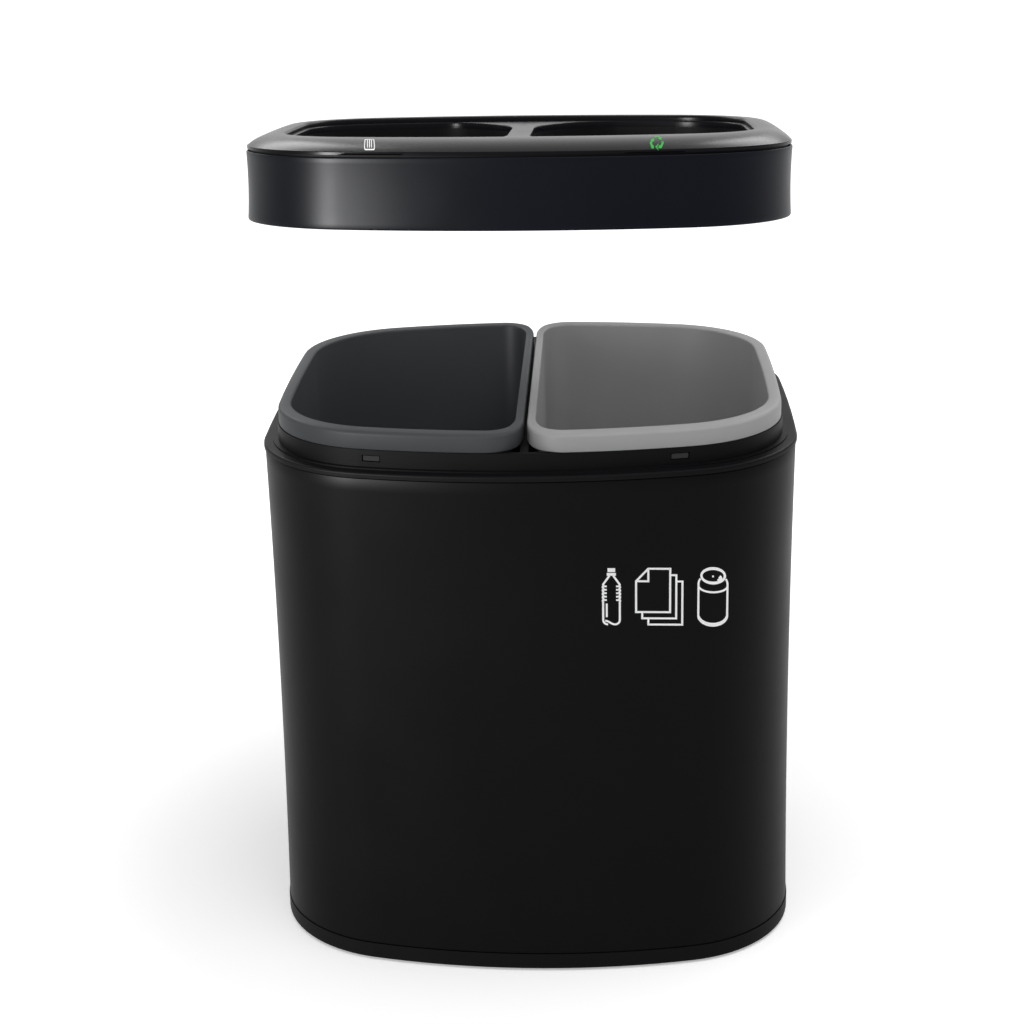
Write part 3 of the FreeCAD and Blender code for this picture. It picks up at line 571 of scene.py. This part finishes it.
class BIN_OT_can_shell(bpy.types.Operator):
    """Make the waisted steel shell with its folded hem"""

    bl_idname = "bin.can_shell"
    bl_label = "Can shell"

    def execute(self, context):
        """The inset at height z is the shell's inset plus waist * (1 - s^2), s = -1..1."""
        size = context.scene.can_sizes
        edge = size.sheet / 2
        heights, waist = waisted(size.shell_bottom + edge, size.shell_top - edge, 41,
                                 size.waist)
        outer = size.shell_inset + waist
        thick = size.sheet * 2
        fold_inset, fold_rise = folded_edge(thick, edge)
        hem = heights > size.shell_top - SHELL_HEM
        inner = outer + np.where(hem, thick, size.sheet)
        skin = ring_skin([outer, outer[-1] + fold_inset, inner[::-1]],
                         [heights, heights[-1] + fold_rise, heights[::-1]])
        make_piece("can_shell", skin, "bin",
                   powder_coated_steel("black powder coat", context.scene.finishes.shell,
                                       0.42, 0.05),
                   replaces=["outer_shell"])
        return {"FINISHED"}


class BIN_OT_fittings(bpy.types.Operator):
    """Finish the base, collar, brackets, springs, feet and screws"""

    bl_idname = "bin.fittings"
    bl_label = "Fittings"

    def execute(self, context):
        """The solids keep their shape and get their finishes."""
        finish = context.scene.finishes
        moulded = spark_textured_plastic("black moulded ABS", finish.moulded)
        dress_nodes(["base_pan", "collar", "lid_carrier"], moulded)
        dress_nodes([f"latch_spring_{corner}" for corner in CORNERS],
                    spark_textured_plastic("grey acetal", finish.spring))
        dress_nodes([f"foot_{corner}" for corner in CORNERS],
                    moulded_rubber("black rubber", finish.rubber))
        dress_nodes([f"base_bracket_{corner}" for corner in CORNERS]
                    + ["base_screws", "lid_screws"],
                    zinc_plated_steel("zinc plate", finish.zinc))
        return {"FINISHED"}


# The rim's top and skirt, and how far the profile runs in along the floor to its cap.
RIM_THICKNESS = 2.0
SKIRT_THICKNESS = 1.8
FLOOR_REACH = 8


class BIN_OT_tubs(bpy.types.Operator):
    """Make the two lift-out tubs with their turned-over rims"""

    bl_idname = "bin.tubs"
    bl_label = "Tubs"

    def execute(self, context):
        """A profile of (inset, height) is carried round the half outline.

        Across the rim's top the front's inset grows front_width / side_width times as
        fast and the middle's middle_width / side_width times; below it, all alike.
        """
        size = context.scene.tub_sizes
        rim = HalfPlan(can_plan().drawn_in(size.rim_inset), size.half_gap,
                       size.near_radius, size.tight_radius, size.near_y)
        mouth = size.side_width
        under = size.rim_top - RIM_THICKNESS
        low = mouth + size.draft
        floor = size.bottom + size.wall
        profile = rounded([
            (low + FLOOR_REACH, size.bottom, 0),
            (low - size.wall, size.bottom, 4.0),
            (mouth - size.wall, under, 0.5),
            (SKIRT_THICKNESS, under, 0.5),
            (SKIRT_THICKNESS, size.rim_bottom, 0.5),
            (0.0, size.rim_bottom, 0.5),
            (0.0, size.rim_top, 1.7),
            (mouth, size.rim_top, 1.0),
            (low, floor, 5.0),
            (low + FLOOR_REACH, floor, 0),
        ], steps=6)
        loops = []
        for inset in profile[:, 0]:
            over = min(inset, mouth)
            extra = inset - over
            loops.append(rim.drawn_in(inset, over * size.front_width / mouth + extra,
                                      over * size.middle_width / mouth + extra).loop())
        rows = stack_loops(loops, profile[:, 1])
        finish = context.scene.finishes
        for name, sign, hex_colour in (("right", 1, finish.light_tub),
                                       ("left", -1, finish.dark_tub)):
            skin = Skin()
            skin.add_rows(rows * (sign, sign, 1), caps=True)
            make_piece(f"{name}_tub", skin, f"{name}_bucket",
                       moulded_polypropylene(f"{name} tub polypropylene", hex_colour),
                       replaces=[f"{name}_bucket"])
        return {"FINISHED"}


class BIN_OT_lid_band(bpy.types.Operator):
    """Make the lid ring's dished steel band with its hems"""

    bl_idname = "bin.lid_band"
    bl_label = "Lid band"

    def execute(self, context):
        """The inset at height z is dish * (1 - s^2), with s running -1..1 up the band."""
        size = context.scene.lid_sizes
        sheet = context.scene.can_sizes.sheet
        thick = sheet * BAND_FOLD
        edge = thick / 2
        heights, outer = waisted(edge, size.band - edge, 15, size.dish)
        fold_inset, fold_rise = folded_edge(thick, edge)
        hem = (heights < BAND_HEM) | (heights > size.band - BAND_HEM)
        inner = outer + np.where(hem, thick, sheet)
        skin = ring_skin([outer, fold_inset, inner[::-1], fold_inset[::-1]],
                         [heights, heights[-1] + fold_rise, heights[::-1],
                          heights[0] - fold_rise[::-1]])
        make_piece("lid_steel_band", skin, "lid",
                   powder_coated_steel("blue-black powder coat", context.scene.finishes.band,
                                       0.36, 0.07),
                   replaces=["lid_band"])
        return {"FINISHED"}


# Radii of the frame's edges, and how the slope's loops crowd towards the lip.
ROLL_RADIUS = 1.3
LIP_ROUND = 0.5
BRIDGE_ROUND = 0.7
SLOPE_CROWDING = 1.6


def slope_height(size, share):
    """Height of the frame's slope at a share of the way from its lip to its roll."""
    rise = size.roll_top - size.lip_top
    return size.lip_top + rise * (1 - (1 - share) ** size.slope_power)


def lid_slope(size, lip, opening):
    """Loops and heights of the frame's lip and slope, from its lower edge up and in."""
    loops = [lip.loop()]
    heights = [size.lip_bottom]
    for turn in np.linspace(0, math.pi / 3, 5):
        loops.append(lip.drawn_in(LIP_ROUND * (1 - math.cos(turn))).loop())
        heights.append(size.lip_top + LIP_ROUND * (math.sin(turn) - 1))
    start = lip.drawn_in(LIP_ROUND).loop()
    end = opening.drawn_in(-ROLL_RADIUS).loop()
    for share in np.linspace(0, 1, 25) ** SLOPE_CROWDING:
        loops.append(start * (1 - share) + end * share)
        heights.append(slope_height(size, share))
    return loops, heights


def rolled_edge(plan, radius, top, steps):
    """Loops and heights of a quarter round, from a level top to a plan's upright wall."""
    turns = np.linspace(0, math.pi / 2, steps)
    loops = [plan.drawn_in(-radius * (1 - math.sin(turn))).loop() for turn in turns]
    return loops, [top - radius * (1 - math.cos(turn)) for turn in turns]


class BIN_OT_lid_frame(bpy.types.Operator):
    """Make the lid ring's polished top frame with its slope, step and bridge"""

    bl_idname = "bin.lid_frame"
    bl_label = "Lid frame"

    def execute(self, context):
        """The slope runs straight in plan from the lip to the roll, steepest at the lip.

        Its height is lip + rise * (1 - (1 - t) ^ power) for t from 0 to 1.
        """
        size = context.scene.lid_sizes
        plan = can_plan()
        lip = plan.drawn_in(size.lip_inset)
        opening = Plan(size.opening_x, size.opening_y, plan.front, plan.side,
                       size.opening_corner)
        hole = HalfPlan(opening.drawn_in(size.ledge), size.bridge_half, size.bridge_near,
                        size.bridge_tight, size.bridge_y)
        loops, heights = lid_slope(size, lip, opening)
        roll_loops, roll_heights = rolled_edge(opening, ROLL_RADIUS, size.roll_top, 6)
        skin = Skin()
        skin.add_rows(stack_loops([*loops, *roll_loops[1:], opening.loop()],
                                  [*heights, *roll_heights[1:], size.bridge_top]))
        top_outer = opening.half_steps(size.bridge_y, hole.tight_end)
        bottom_outer = lip.half_steps(size.bridge_y, hole.tight_end)
        lower = size.lip_bottom
        side_loops, side_heights = rolled_edge(hole, BRIDGE_ROUND, size.bridge_top, 5)
        rows = stack_loops([top_outer, *side_loops, hole.loop(), bottom_outer],
                           [size.bridge_top, *side_heights, lower, lower])
        for sign in (1, -1):
            skin.add_rows(rows * (sign, sign, 1))
        make_piece("lid_polished_frame", skin, "lid",
                   polished_abs("polished black ABS", context.scene.finishes.polished),
                   replaces=["lid_top_frame"], merge=0.01)
        return {"FINISHED"}


# The ink's two sides, the longest run of a stroke and the width of a plain one.
INK_PROUD = 0.05
INK_SUNK = 0.06
STROKE_STEP = 1.0
SHELL_STROKE = 0.95
# The shell's signs: their foot, how they sink as the shell falls back, and their places.
SIGN_BASE = 181.2
SIGN_FALL = 0.43
BOTTLE_MIDDLE = 39.5
PAPERS_LEFT = 50.9
CAN_MIDDLE = 86.75
# The lid's signs: their places in x, and heights as shares of the slope, which is drawn
# as if it were 9 mm long. The loop's width and rise stretch its unit drawing.
WASTE_MIDDLE = -63.5
LOOP_MIDDLE = 64.3
SIGN_LOW = 0.06
SIGN_HIGH = 0.62
LOOP_CENTRE = 0.29
LOOP_RISE = 0.40
LOOP_WIDTH = 3.4
SLOPE_DRAWN = 9.0


def shell_fallback(plan, x, inset):
    """How far back a plan's front, drawn in by an inset, lies at x from its foremost line."""
    inset = np.broadcast_to(inset, np.shape(x))
    front = plan.front - inset
    on_front = plan.front_centre[1] - np.sqrt(front ** 2 - np.minimum(x, plan.half_x) ** 2)
    corner = plan.corner - inset
    reach = np.clip(x - plan.corner_centre[0], 0, corner)
    on_corner = plan.corner_centre[1] - np.sqrt(corner ** 2 - reach ** 2)
    past = x > plan.corner_centre[0] + corner * math.sin(plan.corner_start)
    return np.where(past, on_corner, on_front) + plan.half_y


def divided(points, step=STROKE_STEP):
    """A path with points put in, so that no run is longer than a step."""
    points = np.asarray(points, float)
    reach = np.concatenate([[0], np.cumsum(np.hypot(*np.diff(points, axis=0).T))])
    count = max(int(math.ceil(reach[-1] / step)), 1)
    places = np.unique(np.concatenate([reach, np.linspace(0, reach[-1], count + 1)]).round(5))
    return np.stack([np.interp(places, reach, points[:, axis]) for axis in (0, 1)], axis=1)


def ellipse_arc(centre, radii, start, end, steps):
    """Points of an ellipse's arc: centre plus radii times (cos a, sin a), in degrees."""
    angle = np.radians(np.linspace(start, end, steps + 1))
    return np.asarray(centre) + np.stack([np.cos(angle), np.sin(angle)], axis=1) * radii


def stroke_sides(points, width, closed):
    """The two sides of a stroke with mitred corners.

    At each point the side lies along the mean of its two runs' normals, at half the
    width divided by the cosine of half the turn.
    """
    before = points - np.roll(points, 1, axis=0)
    after = np.roll(points, -1, axis=0) - points
    if not closed:
        before[0] = after[0]
        after[-1] = before[-1]
    before /= np.hypot(*before.T)[:, None]
    after /= np.hypot(*after.T)[:, None]
    mean = before + after
    mean /= np.hypot(*mean.T)[:, None]
    cosine = np.clip((mean * after).sum(axis=1), 0.5, 1)
    normal = np.stack([-mean[:, 1], mean[:, 0]], axis=1)
    offset = normal * (np.asarray(width) / 2 / cosine)[:, None]
    return points + offset, points - offset


def add_stroke(skin, surface, points, width=SHELL_STROKE, closed=False, divide=True):
    """Add one inked stroke, a thin band of even thickness that follows a surface.

    The surface turns plan points of the drawing and a height above it into space.
    """
    points = np.asarray(points, float)
    if closed:
        points = np.concatenate([points, points[:1]])
    if divide:
        points = divided(points)
    if closed:
        points = points[:-1]
    width = np.broadcast_to(np.asarray(width, float), len(points))
    left, right = stroke_sides(points, width, closed)
    ring = np.stack([surface(left, INK_PROUD), surface(left, -INK_SUNK),
                     surface(right, -INK_SUNK), surface(right, INK_PROUD)])
    rows = ring.transpose(1, 0, 2)
    skin.add_rows(rows, closed=closed, caps=not closed)


def rounded_trapezium(top_half, bottom_half, half_height, radius):
    """A closed trapezium about the middle, with rounded corners."""
    corners = [(bottom_half, -half_height), (top_half, half_height),
               (-top_half, half_height), (-bottom_half, -half_height)]
    path = []
    for place, corner in enumerate(corners):
        after = corners[(place + 1) % 4]
        trio = rounded([(*corners[place - 1], 0), (*corner, radius), (*after, 0)], steps=4)
        path.append(trio[1:-1])
    return np.concatenate(path)


class BIN_OT_shell_signs(bpy.types.Operator):
    """Print the bottle, paper and can signs on the shell's front"""

    bl_idname = "bin.shell_signs"
    bl_label = "Shell signs"

    def execute(self, context):
        """The drawing is level seen from the eye, so it sinks as the shell falls back."""
        skin = Skin()
        ink = partial(add_stroke, skin, self.on_shell)
        self.draw_bottle(ink, BOTTLE_MIDDLE, SIGN_BASE)
        self.draw_papers(ink, PAPERS_LEFT, SIGN_BASE)
        self.draw_can(ink, CAN_MIDDLE, SIGN_BASE)
        make_piece("shell_signs", skin, "bin",
                   screen_ink("white screen ink", context.scene.finishes.ink))
        return {"FINISHED"}

    def on_shell(self, points, proud):
        """The drawing's (x, height) on the shell, a little way in front of it.

        The front's arc falls back by R - sqrt(R^2 - x^2); past its end, the corner's arc
        takes over. The waist draws the shell in by waist * (1 - s^2).
        """
        size = bpy.context.scene.can_sizes
        plan = can_plan()
        x = points[:, 0]
        fallback = shell_fallback(plan, x, 0.0)
        height = points[:, 1] - SIGN_FALL * fallback
        half = (size.shell_top - size.shell_bottom) / 2
        share = (height - size.shell_bottom - half) / half
        inset = size.shell_inset + size.waist * (1 - share ** 2) - proud
        y = shell_fallback(plan, x, inset) - plan.half_y
        return np.stack([x, y, height], axis=1)

    def draw_bottle(self, ink, middle, base):
        """A drinks bottle: cap, neck, shoulders, ribbed waist and a rippled foot."""
        half = 3.85
        neck = base + 24.6
        rib_pitch = 1.7
        ribs = base + 12.6 + rib_pitch * np.arange(5)

        def add(points, width=SHELL_STROKE):
            """Add a stroke of the bottle, drawn about its own middle."""
            ink(np.array(points) + (middle, 0), width)

        add([(-1.75, base + 27.4), (1.75, base + 27.4)], 1.9)
        add([(-2.1, neck + 0.7), (2.1, neck + 0.7)], 1.4)
        for side in (-1, 1):
            wave = base + 11.8 + np.linspace(0, 5 * rib_pitch, 31)
            bulge = 0.18 * np.sin((wave - base - 11.8) / rib_pitch * 2 * math.pi)
            body = np.stack([side * (half + bulge), wave], axis=1)
            foot = ellipse_arc((side * (half - 2.2), base + 2.7), (2.2 * side, 2.2), 0, -90, 8)
            top = [(side * 0.9, neck)]
            path = np.concatenate([foot[::-1], body, top])
            add(path)
            for rib in ribs:
                add([(side * half, rib), (side * 2.15, rib)], 0.85)
        ripple_x = np.linspace(-half + 0.9, half - 2.2, 15)
        swing = np.cos((ripple_x - ripple_x[0]) / (ripple_x[-1] - ripple_x[0]) * math.pi)
        add(np.stack([ripple_x, base + 1.4 + 0.9 * swing], axis=1))
        add([(-2.2, base + 4.1), (-2.2, base + 10.9)], 0.9)

    def draw_papers(self, ink, left, base):
        """Three sheets of paper, each behind the last, the first with a folded corner."""
        wide, tall = 15.8, 21.5
        step_x, step_y = 2.85, 3.1
        fold = 5.65
        top = base + 28.2
        low = top - tall
        right = left + wide
        crease = top - fold * 1.1
        half = SHELL_STROKE / 2
        ink([(left, low), (right, low), (right, top), (left + fold, top), (left, crease)],
            closed=True)
        ink([(left + fold, top - half), (left + fold, crease), (left + half, crease)])
        for sheet in (1, 2):
            shift = np.array([step_x, -step_y]) * sheet
            ink(np.array([(left, low + step_y - half), (left, low), (right, low), (right, top),
                          (right - step_x + half, top)]) + shift)

    def draw_can(self, ink, middle, base):
        """A drinks can: lid with its opening, neck line, body and a shaded foot."""
        half = 6.85
        lid = base + 25.0
        shoulder = base + 20.8
        foot = base + 5.2
        angle = np.linspace(0, 2 * math.pi, 48, endpoint=False)
        rim = np.array([middle, lid]) + np.stack([np.cos(angle) * 5.55, np.sin(angle) * 3.6],
                                                 axis=1)
        thick = SHELL_STROKE * (1.15 + 0.35 * np.sin(angle) ** 2)
        ink(rim, thick, closed=True, divide=False)
        for side in (-1, 1):
            curve = ellipse_arc((middle + side * (half - 1.9), shoulder), (1.9 * side, 3.1),
                                0, 60, 8)
            ink(np.concatenate([[(middle + side * half, foot)], curve]))
        ink(ellipse_arc((middle, shoulder - 0.7), (half, 3.3), 180, 360, 24))
        bottom = ellipse_arc((middle, foot + 0.05), (half, 5.05), 180, 360, 32)
        share = np.linspace(-1, 1, len(bottom))
        ink(bottom + (0, 0.35), SHELL_STROKE + 0.9 * (1 - share ** 2), divide=False)
        ink(ellipse_arc((middle + 0.9, lid - 1.3), (2.6, 1.5), -60, 40, 8), 1.7, divide=False)
        ink([(middle - 0.5, lid - 0.3), (middle + 0.3, lid - 0.3)], 0.9)


class BIN_OT_lid_signs(bpy.types.Operator):
    """Print the waste sign and the three-arrow loop on the lid frame's front"""

    bl_idname = "bin.lid_signs"
    bl_label = "Lid signs"

    def execute(self, context):
        """Each sign lies on the slope, its height in the drawing running up the slope."""
        finish = context.scene.finishes
        signs = (("waste_sign", self.draw_waste_bin, WASTE_MIDDLE,
                  "white pad-printed ink", finish.ink),
                 ("recycling_sign", self.draw_arrow_loop, LOOP_MIDDLE,
                  "green pad-printed ink", finish.green_ink))
        for name, draw, middle, ink_name, hex_colour in signs:
            skin = Skin()
            draw(partial(add_stroke, skin, self.slope_band), middle)
            make_piece(name, skin, "lid", screen_ink(ink_name, hex_colour))
        return {"FINISHED"}

    def on_slope(self, points, proud):
        """The drawing's (x, share of the slope from the lip) on the frame's front.

        The slope falls back from the eye, so a stroke's side moves along the eye's ray
        through its mean, by (x - eye) / distance for each millimetre further back, to
        look upright.
        """
        size = bpy.context.scene.lid_sizes
        plan = can_plan()
        lip = plan.drawn_in(size.lip_inset + LIP_ROUND)
        opening = Plan(size.opening_x + ROLL_RADIUS, size.opening_y + ROLL_RADIUS,
                       plan.front + ROLL_RADIUS, plan.side, size.opening_corner)
        x, share = points[:, 0], points[:, 1]
        outer = shell_fallback(lip, x, 0.0) - lip.half_y
        inner = shell_fallback(opening, x, 0.0) - opening.half_y
        y = outer * (1 - share) + inner * share
        eye = bpy.context.scene.stage_settings.eye
        aside = (x.mean() - eye[0]) / (y.mean() - eye[1])
        return np.stack([x + (y - outer) * aside, y, slope_height(size, share) + proud],
                        axis=1)

    def draw_waste_bin(self, ink, middle):
        """A waste bin: a rounded body wider at its foot, with three bars."""
        low, high = SIGN_LOW, SIGN_HIGH
        body = rounded_trapezium(2.0, 2.35, 1.0, 0.35)
        share = (body[:, 1] + 1) / 2 * (high - low) + low
        ink(np.stack([body[:, 0] + middle, share * SLOPE_DRAWN], axis=1), 0.36, closed=True)
        for bar in (-1, 0, 1):
            ink([(middle + bar * 0.95, (low + 0.12 * (high - low)) * SLOPE_DRAWN),
                 (middle + bar * 0.9, (high - 0.1 * (high - low)) * SLOPE_DRAWN)], 0.34)

    def slope_band(self, points, proud):
        """Like on_slope, with the share counted in the drawing's millimetres."""
        return self.on_slope(points / (1, SLOPE_DRAWN), proud)

    def draw_arrow_loop(self, ink, middle):
        """Three bent arrows that follow each other round a triangle with cut corners.

        Each arrow has a shaft along half a side, round its corner and along the next
        side, and a head that is a stroke narrowing from its base to its tip.
        """
        centre = np.array([middle, LOOP_CENTRE * SLOPE_DRAWN])
        scale = np.array([LOOP_WIDTH, LOOP_RISE * SLOPE_DRAWN])
        corner = np.array([(-0.20, 0.78), (0.20, 0.78)])
        heel = np.array([(-0.30, 0.60)])
        tip = np.array([(0.36, 0.50), (0.57, 0.13)])
        for turn in (0, -120, -240):
            angle = math.radians(turn)
            spin = np.array([[math.cos(angle), -math.sin(angle)],
                             [math.sin(angle), math.cos(angle)]])
            shaft = np.concatenate([heel, corner, tip[:1]]) @ spin.T * scale + centre
            ink(shaft, 0.85)
            head = divided(tip @ spin.T * scale + centre, 0.3)
            ink(head, np.linspace(2.0, 0.1, len(head)), divide=False)


# Where the seen floor's glow starts and stops to grow, in metres from the middle.
GLOW_NEAR = 0.2
GLOW_FAR = 0.6


class BIN_OT_stage(bpy.types.Operator):
    """Set the pale floor, the studio light and the camera"""

    bl_idname = "bin.stage"
    bl_label = "Stage"

    def execute(self, context):
        """The camera's axes come from yaw, pitch and roll; its shift from the centre."""
        settings = context.scene.stage_settings
        self.set_camera(context, settings)
        self.set_floor(context, settings)
        self.set_sky(context, settings)
        self.set_lamps(context, settings)
        context.scene.view_settings.view_transform = "Standard"
        return {"FINISHED"}

    def set_camera(self, context, settings):
        """Place the camera where the photograph was taken from."""
        yaw, pitch, roll = settings.yaw, settings.pitch, settings.roll
        ahead = Vector((math.sin(yaw) * math.cos(pitch), math.cos(yaw) * math.cos(pitch),
                        math.sin(pitch)))
        level = Vector((math.cos(yaw), -math.sin(yaw), 0))
        upright = level.cross(ahead)
        right = level * math.cos(roll) + upright * math.sin(roll)
        up = upright * math.cos(roll) - level * math.sin(roll)
        data = bpy.data.cameras.new("camera")
        data.sensor_width = 36.0
        data.lens = settings.focal / PICTURE_SIZE * data.sensor_width
        data.shift_x = (PICTURE_SIZE / 2 - settings.centre_x) / PICTURE_SIZE
        data.shift_y = (settings.centre_y - PICTURE_SIZE / 2) / PICTURE_SIZE
        data.clip_start = 0.01
        camera = bpy.data.objects.new("camera", data)
        context.scene.collection.objects.link(camera)
        turn = Matrix((right, up, -ahead)).transposed().to_4x4()
        camera.matrix_world = Matrix.Translation(Vector(settings.eye) * MILLIMETRE) @ turn
        context.scene.camera = camera

    def seen_rays(self, tree, otherwise, seen):
        """One value where the eye, a reflection or glass looks, another for plain light."""
        path = add_node(tree, "ShaderNodeLightPath").outputs
        look = path["Is Camera Ray"]
        for kind in ("Is Transmission Ray", "Is Glossy Ray"):
            look = add_node(tree, "ShaderNodeMath", {0: look, 1: path[kind]},
                            operation="MAXIMUM").outputs[0]
        return add_node(tree, "ShaderNodeMapRange", {
            "Value": look, "To Min": otherwise, "To Max": seen}).outputs["Result"]

    def set_floor(self, context, settings):
        """A wide pale floor that looks white and keeps the bin's shadow.

        What the lamps leave short of white, a glow that only the eye and reflections
        meet adds, and it grows with the distance from the bin.
        """
        reach = 8.0
        mesh = bpy.data.meshes.new("floor")
        corners = [(x * reach, y * reach, 0) for x, y in ((-1, -1), (1, -1), (1, 1), (-1, 1))]
        mesh.from_pydata(corners, [], [(0, 1, 2, 3)])
        material, tree = start_material("pale floor")
        diffuse = add_node(tree, "ShaderNodeBsdfDiffuse", {
            "Color": linear(context.scene.finishes.floor)})
        place = add_node(tree, "ShaderNodeTexCoord").outputs["Object"]
        distance = add_node(tree, "ShaderNodeVectorMath", {0: place}, operation="LENGTH")
        lift = add_node(tree, "ShaderNodeMapRange", {
            "Value": distance.outputs["Value"], "From Min": GLOW_NEAR, "From Max": GLOW_FAR,
            "To Min": settings.floor_lift, "To Max": settings.far_lift})
        strength = add_node(tree, "ShaderNodeMath", {
            0: lift.outputs["Result"], 1: self.seen_rays(tree, 0.0, 1.0)},
            operation="MULTIPLY")
        glow = add_node(tree, "ShaderNodeEmission", {
            "Color": (1, 1, 1, 1), "Strength": strength.outputs[0]})
        shader = add_node(tree, "ShaderNodeAddShader", {
            0: diffuse.outputs["BSDF"], 1: glow.outputs["Emission"]})
        add_node(tree, "ShaderNodeOutputMaterial", {"Surface": shader.outputs["Shader"]})
        mesh.materials.append(material)
        floor = bpy.data.objects.new("floor", mesh)
        context.scene.collection.objects.link(floor)

    def set_sky(self, context, settings):
        """An even pale sky, white where the eye or a reflection meets it."""
        world = bpy.data.worlds.new("pale studio")
        world.use_nodes = True
        tree = world.node_tree
        tree.nodes.clear()
        light = add_node(tree, "ShaderNodeBackground", {
            "Color": (1, 1, 1, 1), "Strength": self.seen_rays(tree, settings.sky, 1.0)})
        add_node(tree, "ShaderNodeOutputWorld", {"Surface": light.outputs["Background"]})
        context.scene.world = world

    def set_lamps(self, context, settings):
        """A soft light from the left front, a wide one above, and three for the gloss.

        The strip and the two back lights only show in reflections, as softboxes do on
        black: the strip on the can and the band, the others on the lid frame's corners.
        Each row has a name, a power, a place, a size and whether it lights what it meets.
        """
        target = Vector((0, 0, 0.3))
        lamps = (("key", settings.key, (-1.1, -1.3, 0.75), (0.5, 1.4), True),
                 ("fill", settings.fill, (0.3, -0.2, 1.6), (1.6, 1.2), True),
                 ("strip", settings.strip, (-1.02, -1.12, 0.5), (0.3, 0.45), False),
                 ("back_left", settings.back, (-0.62, 1.15, 1.05), (0.7, 0.45), False),
                 ("back_right", settings.back, (0.62, 1.15, 1.05), (0.7, 0.45), False))
        for name, power, place, size, lights in lamps:
            data = bpy.data.lights.new(name, "AREA")
            data.shape = "RECTANGLE"
            data.size, data.size_y = size
            data.energy = power
            lamp = bpy.data.objects.new(name, data)
            lamp.location = place
            lamp.visible_diffuse = lights
            lamp.rotation_euler = (target - lamp.location).to_track_quat("-Z", "Y").to_euler()
            context.scene.collection.objects.link(lamp)


class BIN_PT_panel(bpy.types.Panel):
    """The sidebar's list of the bin's pieces"""

    bl_idname = "BIN_PT_panel"
    bl_label = "Recycling Bin"
    bl_space_type = "VIEW_3D"
    bl_region_type = "UI"
    bl_category = "Recycling Bin"

    def draw(self, context):
        """One button for each operator."""
        for operator in OPERATORS:
            self.layout.operator(operator.bl_idname)


GROUPS = {
    "can_sizes": CanSizes,
    "tub_sizes": TubSizes,
    "lid_sizes": LidSizes,
    "finishes": Finishes,
    "stage_settings": StageSettings,
}
OPERATORS = (BIN_OT_can_shell, BIN_OT_fittings, BIN_OT_tubs, BIN_OT_lid_band,
             BIN_OT_lid_frame, BIN_OT_shell_signs, BIN_OT_lid_signs, BIN_OT_stage)


def register():
    """Add the classes and hang the settings on the scene."""
    for item in (*GROUPS.values(), *OPERATORS, BIN_PT_panel):
        bpy.utils.register_class(item)
    for name, group in GROUPS.items():
        setattr(bpy.types.Scene, name, bpy.props.PointerProperty(type=group))


def unregister():
    """Take the settings and the classes away again."""
    for name in GROUPS:
        delattr(bpy.types.Scene, name)
    for item in (BIN_PT_panel, *OPERATORS[::-1], *GROUPS.values()):
        bpy.utils.unregister_class(item)


def main():
    """Register the classes and make every piece in order, then set the stage."""
    register()
    bpy.ops.bin.can_shell()
    bpy.ops.bin.fittings()
    bpy.ops.bin.tubs()
    bpy.ops.bin.lid_band()
    bpy.ops.bin.lid_frame()
    bpy.ops.bin.shell_signs()
    bpy.ops.bin.lid_signs()
    bpy.ops.bin.stage()


if __name__ == "__main__":
    main()
